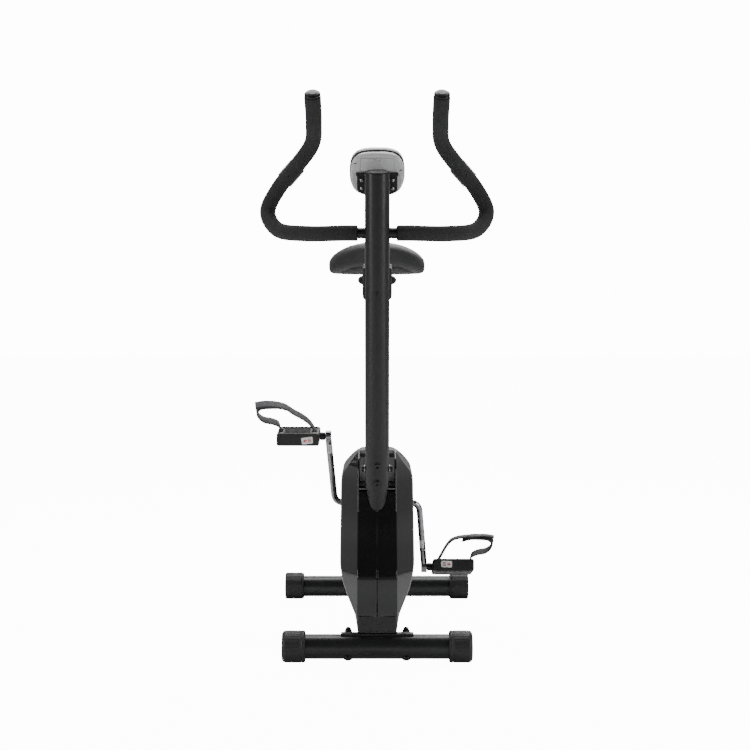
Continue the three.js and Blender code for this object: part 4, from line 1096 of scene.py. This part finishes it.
def pedal(side, hand, pitch, label_at, label_up, label_tilt):
    near, far, middle = 19, 113, 66
    eye = Matrix.Translation(crank_point(side, CRANK_LENGTH, EYE_X))
    place = eye @ Matrix.Rotation(math.radians(pitch), 4, "X")
    body_name = f"{hand}_pedal"

    def put(shape):
        return turned(mirrored(shape) if side < 0 else shape, place)

    outline = rect(near, far, -14, 14, 5.5, 6)
    obj = raw(f"pedal_body_{hand}", put(prism(outline, along_y, -50, 50, 3, 5)))
    cuts = [box(near + 5, far - 5, -45, 45, 11, 22, 3, 0), box(near + 6, near + 18, -12.5, 12.5, 2, 20, 2,
                                                               0),
            box(far - 12, far - 4, -12.5, 12.5, 2, 20, 2, 0)]
    carve(obj, *[put(c) for c in cuts])
    finish_piece(obj, body_name, moulded, (f"pedal_{hand}",), crease=40)
    ribs = [box(near + 21, far - 15, y - 1.5, y + 1.5, 10.5, 12.0, 1.3, 0.6)
            for y in (9.4 * k for k in range(-4, 5))]
    for x in (near + 13, far - 9):
        for y in (-30, 30):
            ribs.append(box(x - 3, x + 3, y - 9, y + 9, 10.5, 13.0, 1.3, 0.6))
    make(f"pedal_tread_{hand}", put(merge(*ribs)), body_name, "black_plastic", moulded)
    under = [box(near + 9, far - 9, y, y + 4, -14.7, -13.6, 1, 0.4) for y in (-44, 40)]
    under += [rod(2.4, (x, 0, -14.6), Z, 2, 24, 0.4) for x in (near + 30, far - 30)]
    make(f"pedal_keel_{hand}", put(merge(*under)), body_name, "black_plastic", moulded)

    tilt = math.radians(label_tilt)

    def on_front(x, z, h):
        return Vector((label_at + x * math.cos(tilt) - z * math.sin(tilt), h,
                       label_up + x * math.sin(tilt) + z * math.cos(tilt)))

    label = rect(-12.4, 12.4, -7.4, 7.4, 2.4, 5)
    make(f"pedal_label_{hand}", put(prism(label, on_front, -50.35, -49.0, 0.1, 1)), body_name,
         "black_plastic", label_white)
    bars = [rect(-8.6, -1.6, y, y + 1.5, 0.5) for y in (-4.2, -1.0, 2.2)]
    arrow = fillet([(0.6, -1.1), (4.6, -1.1), (4.6, -3.6), (9.2, 0), (4.6, 3.6), (4.6, 1.1), (0.6, 1.1)],
                   0.3, 2)
    marks = merge(*[prism(shape, on_front, -50.5, -50.2, 0.05, 1) for shape in bars + [arrow]])
    make(f"pedal_mark_{hand}", put(marks), body_name, "black_plastic", label_red)

    line = fillet([(-6.5, 0), (-6.5, 6.6), (7.6, 6.6), (7.6, 9), (near - 1.2, 9), (near - 1.2, 7.2),
                   (near + 2, 7.2), (near + 2, 0)], 0.6, 3, closed=False)
    spindle = lathe(line, (0, 0, 0), X, 72, shape=hex_shape(8.1, 9.6, 15.6))
    moved = turned(mirrored(spindle) if side < 0 else spindle, eye)
    make(f"spindle_{hand}", moved, "crankset", "black_bolt", bolt_black, (f"pedal_spindle_{hand}",),
         crease=30)

    def band(points):
        line = spline([(middle + x, 0, z) for x, z in points], STRAP_STEP)
        length = STRAP_STEP * len(line)

        def cut(share):
            wave = 0.5 + 0.5 * math.cos(2 * math.pi * share * length / 2.7)
            t = 1.65 + 0.12 * wave
            return fillet([(-11, -t), (-9.2, -t), (-9, -t), (9, -t), (11, -t), (11, t), (-11, t)], 0.7, 3)

        return tube(line, 1.4, section=cut, hint=Y, rounding=1.0, size=11)

    def leaned(shape, across, lean):
        return [Vector((p.x + across * p.y, p.y, p.z + lean * p.y)) for p in shape[0]], shape[1]

    curl, top = STRAP_LEAN[hand]
    strap = merge(leaned(band(STRAP_CURL), *curl), leaned(band(STRAP_TOP[hand]), *top))
    make(f"strap_{hand}", put(strap), body_name, "strap_rubber", strap_rubber, (f"pedal_strap_{hand}",),
         crease=50, even=False)


# ---------------------------------------------------------------- handlebar

BAR_STEP = 3.0
GRIP_RADIUS = 16.2
GRIP_START = 40
SENSOR_PLACE = 402
BAR_POINTS = [(0, 0, 0), (35, 0, 0), (68, 1, 0), (150, 30, 0), (212, 87, 12), (234, 127, 52),
              (211, 122, 99), (171, 92, 144), (136, 57, 189), (131, 20, 226), (132, -30, 286)]


def handlebar():
    right = [Vector((x, BAR_Y + back, BAR_Z + up)) for x, back, up in BAR_POINTS]
    left = [Vector((-p.x, p.y, p.z)) for p in right[:0:-1]]
    whole = spline(left + right, BAR_STEP)
    length = BAR_STEP * (len(whole) - 1)
    tip = 0.008
    make("bar_tube", tube(stretch_of(whole, tip, 1 - tip), BAR_RADIUS, 40), "handlebar_body", "satin_steel",
         powder, ("handlebar",))
    start = 0.5 + GRIP_START / length
    for side, hand in SIDES:
        path = stretch_of(whole, start, 1 - tip - 0.001)
        mirror = (lambda shape: shape) if side > 0 else mirrored
        grip = tube(path, lambda share: GRIP_RADIUS + share
                    + 0.15 * math.sin(37 * share) * math.sin(11 * share), 48, rounding=2.6)
        obj = make(f"grip_{hand}", mirror(grip), "handlebar_body", "foam", foam, (f"foam_grip_{hand}",),
                   even=False)
        short = round(tip * (len(whole) - 1))
        end, before = whole[-1 - short], whole[-4 - short]
        out = (end - before).normalized()
        line = fillet([(0.2, 0), (0.2, 16.7), (3.2, 16.7), (5.6, 13.8), (7.2, 8), (7.6, 0)], 1.6, 5,
                      closed=False)
        make(f"bar_cap_{hand}", mirror(lathe(line, end, out, 64)), "handlebar_body", "black_plastic",
             smooth_plastic, (f"bar_end_cap_{hand}",))

        place = (0.5 + SENSOR_PLACE / length) * (len(whole) - 1)
        i = int(place)
        middle = whole[i].lerp(whole[i + 1], place - i)
        along = (whole[i + 2] - whole[i - 1]).normalized()
        u, v, w = basis(along, hint=Y)
        arc = [math.radians(-84 + 168 * k / 28) for k in range(29)]
        outline = [(19.3 * math.cos(a), 19.3 * math.sin(a)) for a in arc]
        outline += [(17.2 * math.cos(a), 17.2 * math.sin(a)) for a in reversed(arc)]
        plate = prism(outline, on_plane(middle, u, v, w), -24, 24, 0.7, 3)
        make(f"sensor_{hand}", mirror(plate), "handlebar_body", "chrome", chrome, (f"pulse_sensor_{hand}",))
        dot = fillet([(15.2, 0), (15.2, 3.0), (17.4, 2.8), (18.0, 1.6), (18.0, 0)], 0.4, 3, closed=False)
        make(f"sensor_screw_{hand}", mirror(lathe(dot, middle, -u, 24)), "handlebar_body", "black_bolt",
             bolt_black)


# ---------------------------------------------------------------- resistance control


def tension_control():
    rear = -POST_FRONT
    middle = on_post(TENSION_Z)
    place = on_plane(middle, X, POST_AXIS, rear)
    outline = fillet([(-30, 38), (-30, -24), (-18, -38), (18, -38), (30, -24), (30, 38)], 4, 5)
    case = merge(prism(outline, place, 2, 52.6, 3.2, 5), prism(inset(outline, -0.7), place, 28, 30, 0.6, 3))
    make("tension_case", case, *PLASTIC, ("tension_box",))
    marks = []
    for k in range(9):
        a = math.radians(20 + 17.5 * k)
        c, s = math.cos(a), math.sin(a)
        far = 23 + 2.2 + 0.35 * k
        corners = ((23, -0.6), (23, 0.6), (far, 0.6), (far, -0.6))
        mark = [(reach * c + across * s, reach * s - across * c) for reach, across in corners]
        marks.append(prism(mark, place, 52.4, 52.85, 0.05, 1))
    make("tension_scale", merge(*marks), "bike", "black_plastic", label_white)
    wings = fillet([(-41.5, 0), (-37, 6.5), (-17, 14.6), (0, 16.5), (17, 14.6), (37, 6.5), (41.5, 0),
                    (37, -6.5), (17, -14.6), (0, -16.5), (-17, -14.6), (-37, -6.5)], 5, 5)
    hub = lathe(fillet([(53.4, 0), (53.4, 17.5), (57, 17.5), (59, 15.5), (59, 0)], 0.9, 4, closed=False),
                middle, rear, 64)
    cap = lathe(fillet([(72, 0), (72, 10.5), (75.6, 10), (76.6, 7.5), (76.6, 0)], 0.9, 4, closed=False),
                middle, rear, 64)
    pointer = prism(rect(-1.1, 1.1, 5, 15.2, 0.8), place, 74.2, 74.9, 0.1, 1)
    make("tension_wings", merge(prism(wings, place, 57.5, 74.5, 4.5, 6), hub, cap), "resistance_knob",
         "black_plastic", moulded, ("tension_knob",))
    make("tension_pointer", pointer, "resistance_knob", "black_plastic", label_white)


# ---------------------------------------------------------------- console


OUTLINE_POINTS = 120


def rounded_face(half, height):
    return [(half * math.copysign(abs(c) ** 0.62, c), height * math.copysign(abs(s) ** 0.72, s))
            for c, s in circle(1, OUTLINE_POINTS)]


def evenly(outline):
    closed = [Vector((x, y, 0)) for x, y in outline] + [Vector((outline[0][0], outline[0][1], 0))]
    line = resample(closed, 1)
    total = len(line) - 1
    return [(line[round(i * total / OUTLINE_POINTS)].x, line[round(i * total / OUTLINE_POINTS)].y)
            for i in range(OUTLINE_POINTS)]


DIGITS = {"0": "abcdef", "1": "bc", "2": "abged", "3": "abgcd", "4": "fgbc", "5": "afgcd"}


def digit(word, x, y, size):
    w, h, t = size * 0.5, size, size * 0.11
    bars = {"a": (x, x + w, y + h - t, y + h), "g": (x, x + w, y + h / 2 - t / 2, y + h / 2 + t / 2),
            "d": (x, x + w, y, y + t), "f": (x - t, x, y + h / 2, y + h),
            "b": (x + w, x + w + t, y + h / 2, y + h), "e": (x - t, x, y, y + h / 2),
            "c": (x + w, x + w + t, y, y + h / 2)}
    shapes = []
    for key in DIGITS[word]:
        x0, x1, y0, y1 = bars[key]
        shapes.append(prism(rect(x0 + 0.15, x1 - 0.15, y0 + 0.15, y1 - 0.15, 0.2, 2), face, 37.75, 37.95,
                            0.03, 1))
    return merge(*shapes)


def console():
    outline = evenly(rounded_face(56, 49))
    back = raw("console_rear", prism(inset(outline, 1.6), face, 4, 20, 5.5, 8))
    carve(back, prism(rect(-34.6, 34.6, 8, 38, 2.5, 5), face, -2, 7.2, 0))
    finish_piece(back, "bike", silver, ("console_back",), crease=30)
    make("console_seam", prism(inset(outline, -0.4), face, 18.6, 22.4, 1.2, 4), "bike", "black_plastic",
         smooth_plastic)
    front = raw("console_face", prism(outline, face, 22.0, 38, 6, 8))
    holes = [prism(rect(-37.6, 37.6, 0.4, 37.6, 3, 5), face, 34.2, 50, 0)]
    holes += [prism(rect(x - 9, x + 9, -33, -23, 3, 5), face, 31.5, 50, 0) for x in (-24, 0, 24)]
    carve(front, *holes)
    finish_piece(front, "bike", silver_gloss, ("console_front",), crease=30)

    door = raw("battery_lid", prism(rect(-34, 34, 8.6, 37.4, 2.2, 5), face, 3.2, 6.4, 0.7))
    carve(door, prism(rect(-7, 7, 33.6, 39, 1.2, 4), face, 2, 4.6, 0))
    finish_piece(door, "battery_cover", silver, ("battery_door",), crease=30)
    catch = merge(prism(rect(-4.6, 4.6, 31.8, 36.6, 1.2), face, 2.5, 4.9, 0.4),
                  prism(rect(-8.5, 8.5, 28.6, 29.7, 0.5), face, 2.9, 3.4, 0.1))
    make("battery_catch", catch, "battery_cover", "silver_plastic", silver)
    # Two dark bars on the console's back: painted shadow for its slots.
    slot_shadows = merge(prism(rect(42, 47.5, 25.6, 27.4, 0.8), face, 3.85, 4.4, 0.05, 1),
                  prism(rect(-50.5, -45, 10.6, 12.4, 0.8), face, 3.85, 4.4, 0.05, 1))
    make("console_slot_shadows", slot_shadows, "bike", "black_plastic", dark)

    make("console_lens", prism(rect(-37, 37, 1, 37, 3, 5), face, 34.6, 37.4, 0.5), "bike", "lens", lens,
         ("display_lens",))
    make("console_screen", prism(rect(-29, 29, 7, 32, 1.5, 4), face, 37.3, 37.62, 0.1, 1), "bike", "lens",
         screen)
    figures = [digit(c, x, 11.5, 12) for c, x in (("0", 16), ("0", 6.5), ("2", -5.5), ("4", -15))]
    make("console_figures", merge(*[([face_flip(p) for p in s[0]], s[1]) for s in figures]), "bike", "lens",
         dark)
    for word, x in (("mode", -24), ("set", 0), ("reset", 24)):
        key = prism(rect(x - 8.5, x + 8.5, -32.5, -23.5, 3, 5), face, 34.4, 40.2, 1.4, 4)
        ridge = prism(rect(x - 3.5, x + 3.5, -28.5, -27.5, 0.4), face, 40.0, 40.5, 0.1, 2)
        make(f"key_{word}", merge(key, ridge), f"{word}_button", "button_rubber", button_rubber,
             (f"button_{word}",))


def face_flip(p):
    """Mirrors a point across the bike's middle plane, which leaves each figure on the screen mirrored."""
    return Vector((-p.x, p.y, p.z))


# ---------------------------------------------------------------- seat

CLOTH_FRAMES = 20
EVENING_PASSES = 10
PAD_SHIFT = 5.0
SADDLE = {"y": 276, "z": 855, "half_width": 120, "half_length": 132, "above": 31, "below": 42, "droop": 29}


def saddle_width(y):
    return SADDLE["half_width"] * (1 - 0.5 * max(0, -y) ** 1.4)


def saddle_rim(x, y):
    return SADDLE["z"] - SADDLE["droop"] * abs(x) ** 2.6 * (1 - 0.6 * max(0, -y))


SADDLE_AROUND = 112
SADDLE_DOWN = 56


def saddle_form(spread, height_at):
    rings = []
    for i in range(SADDLE_DOWN + 1):
        theta = math.pi * i / SADDLE_DOWN
        ring = []
        for k in range(SADDLE_AROUND if 0 < i < SADDLE_DOWN else 1):
            phi = 2 * math.pi * k / SADDLE_AROUND
            x, y = spread * math.sin(theta) * math.cos(phi), spread * math.sin(theta) * math.sin(phi)
            ring.append(Vector((saddle_width(y) * x, SADDLE["y"] + SADDLE["half_length"] * y,
                                height_at(x, y, math.cos(theta)))))
        rings.append(ring)
    verts, rows = stack(rings)
    faces = []
    for a, b in zip(rows, rows[1:]):
        for k in range(SADDLE_AROUND):
            j = (k + 1) % SADDLE_AROUND
            if len(a) == 1:
                faces.append((a[0], b[k], b[j]))
            elif len(b) == 1:
                faces.append((a[k], b[0], a[j]))
            else:
                faces.append((a[k], b[k], b[j], a[j]))
    return verts, faces


def pad_height(x, y, z):
    rise = abs(z) ** 0.52
    groove = 4.5 * math.exp(-(x / 0.11) ** 2) * max(0, min(1, 0.9 - y)) ** 0.5 if z > 0 else 0
    return saddle_rim(x, y) + ((SADDLE["above"] - groove * 0.6) * rise if z > 0 else
                               -SADDLE["below"] * rise)


def plump(obj):
    """Swells a pad like stuffed cloth, and keeps each point near where it was drawn."""
    remesh = obj.modifiers.new("voxels", "REMESH")
    remesh.mode = "VOXEL"
    remesh.voxel_size = 0.005
    bake(obj)
    rest = [v.co.copy() for v in obj.data.vertices]
    cloth = obj.modifiers.new("cloth", "CLOTH")
    settings = cloth.settings
    settings.quality = 6
    settings.mass = 0.3
    settings.tension_stiffness = 22
    settings.compression_stiffness = 22
    settings.bending_stiffness = 4
    settings.use_pressure = True
    settings.uniform_pressure_force = 4
    settings.effector_weights.gravity = 0
    cloth.collision_settings.use_collision = False
    scene = bpy.context.scene
    for number in range(1, CLOTH_FRAMES + 1):
        scene.frame_set(number)
    bake(obj)
    scene.frame_set(1)
    moves = [v.co - rest[i] for i, v in enumerate(obj.data.vertices)]
    bm = bmesh.new()
    bm.from_mesh(obj.data)
    bm.verts.ensure_lookup_table()
    near = [[e.other_vert(v).index for e in v.link_edges] for v in bm.verts]
    bm.free()
    for _ in range(EVENING_PASSES):
        moves = [(m * 2 + sum((moves[n] for n in near[i]), Vector())) / (2 + len(near[i])) for i,
                 m in enumerate(moves)]
    limit = PAD_SHIFT * MM
    for i, v in enumerate(obj.data.vertices):
        m = moves[i]
        v.co = rest[i] + (m * (limit / m.length) if m.length > limit else m)
    soft = obj.modifiers.new("settle", "SMOOTH")
    soft.factor = 0.5
    soft.iterations = 6
    fine = obj.modifiers.new("fine", "SUBSURF")
    fine.levels = 1
    fine.render_levels = 1
    bake(obj)
    return obj


def seat():
    sleeve = fillet([(0, 19.2), (0, 22.9), (60.4, 22.9), (60.4, 26.8), (64.5, 26.8), (67.6, 24.6),
                     (67.6, 19.2)], 0.9, 4)
    make("seat_collar", lathe(sleeve, along_seat(372), SEAT_AXIS, 72, ring=True), *PLASTIC,
         ("seat_bushing",))
    make("seat_pillar", pipe(18.9, 17, along_seat(302), SEAT_AXIS, 424, 72, 0.5), "seat_mast", "chrome",
         chrome, ("seat_post",))
    u, v, w = basis(SEAT_AXIS, hint=Y)
    # Dark plugs set in the chrome pillar: painted shadow for its adjustment holes, which are not cut.
    holes = []
    for k in range(8):
        at = along_seat(412 + 25 * k)
        hole = circle(4.4, 28)
        rings = [[at + u * math.sqrt(reach ** 2 - across ** 2) + v * across + w * up for across, up in hole]
                 for reach in (18.2, 19.0)]
        holes.append(skin_rows(*stack(rings)))
    make("pillar_hole_shadows", merge(*holes), "seat_mast", "chrome", dark)

    pin_start = along_seat(400) + Y * 20.2
    pin = fillet([(0, 0), (0, 4), (8, 4), (8, 8), (15, 8), (17, 15), (29, 17), (33, 15), (35, 9), (35, 0)],
                 1.3, 5, closed=False)

    def flutes(radius, t, along):
        return radius - 0.7 * (0.5
                               + 0.5 * math.cos(12 * t)) ** 2 if radius > 14 and 17 < along < 32 else radius

    make("pin_knob", lathe(pin, pin_start, Y, 144, shape=flutes), "seat_pin", "black_plastic", moulded,
         ("pop_pin",), crease=50)
    boss = fillet([(24.6, 5.4), (24.6, 11), (26.6, 11), (26.6, 9.4), (28.1, 9.0), (28.1, 5.4)], 0.4, 3)
    make("pin_boss", lathe(boss, along_seat(400), Y, 48, ring=True), *STEEL)

    head = along_seat(726)
    jaws = [prism(fillet([(-29, low), (29, low), (29, high), (-29, high)], 4, 6),
                  lambda x, z, h: along_y(x, z + head.z, h), head.y - 20, head.y + 20, 1.4, 4)
            for low, high in ((-14, 3.5), (4.5, 16))]
    make("seat_jaws", merge(*jaws), "seat_mast", "satin_steel", powder, ("seat_clamp",))
    bolt = lathe(fillet([(-33.4, 0), (-33.4, 7.4), (-28.8, 7.4), (-28.8, 4), (28.8, 4), (28.8, 7.4),
                         (33.4, 7.4), (33.4, 0)], 0.7, 3, closed=False), (0, head.y, head.z - 5), X, 72,
                 shape=lambda r, t, a: min(r, 6.5 / math.cos(from_flat(t))) if r > 5.9 else r)
    make("seat_bolt", bolt, "seat_mast", "black_bolt", bolt_black, crease=30)

    rail_z = head.z + 9
    half = [(30, 366, 11), (25, 352, 5), (22, 336, 0), (22, 300, 0), (22, 264, 0), (18, 232, 4),
            (9, 208, 8)]
    line = [Vector((-x, y, rail_z + z)) for x, y, z in half] + [Vector((0, 201, rail_z + 9))]
    line += [Vector((x, y, rail_z + z)) for x, y, z in reversed(half)]
    make("saddle_wire", tube(spline(line, 2.5), 3.4, 20, rounding=1.0), "saddle", "chrome", chrome,
         ("saddle_rails",))

    def under(x, y, z):
        rest = max(0, 1 - x ** 2 - y ** 2)
        level = saddle_rim(x, y) - SADDLE["below"] * rest ** 0.42 - 1.6
        return level + (0 if z > 0 else 6 * z)

    make("saddle_shell", saddle_form(0.8, under), "saddle", "black_plastic", matt_black, ("saddle_base",))

    shape = saddle_form(1, pad_height)
    centre = Vector((0, SADDLE["y"], SADDLE["z"] - 8))
    small = ([centre + Vector(((p.x - centre.x) * 0.975, (p.y - centre.y) * 0.975, (p.z - centre.z) * 0.95))
              for p in shape[0]], shape[1])
    pad = plump(raw("saddle_cushion", small))
    finish_piece(pad, "saddle", vinyl, ("saddle_pad",), crease=60, even=False)


def inner_parts():
    """The parts hidden in the housing and the post keep their CAD shapes, with fine bevels."""
    finishes = {"crank_bearing_left": zinc, "crank_bearing_right": zinc, "drive_pulley": moulded,
                "flywheel": iron, "flywheel_axle": zinc, "drive_belt": belt_rubber, "magnet_bracket": zinc,
                "tension_cable": smooth_plastic}
    for name, material in finishes.items():
        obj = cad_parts[name]
        for place in obj.material_slots:
            place.material = material
        bevel = obj.modifiers.new("edges", "BEVEL")
        bevel.width = 0.0004
        bevel.segments = 2
        bevel.limit_method = "ANGLE"
        bevel.angle_limit = math.radians(40)


frame_pieces()
foot_bolts()
front_cap()
rear_cap()
handlebar_post()
housing()
crank()
pedal(1, "left", pitch=-15.6, label_at=50.2, label_up=1.2, label_tilt=-2)
pedal(-1, "right", pitch=4, label_at=45.4, label_up=-1.6, label_tilt=-7)
handlebar()
tension_control()
console()
seat()
inner_parts()
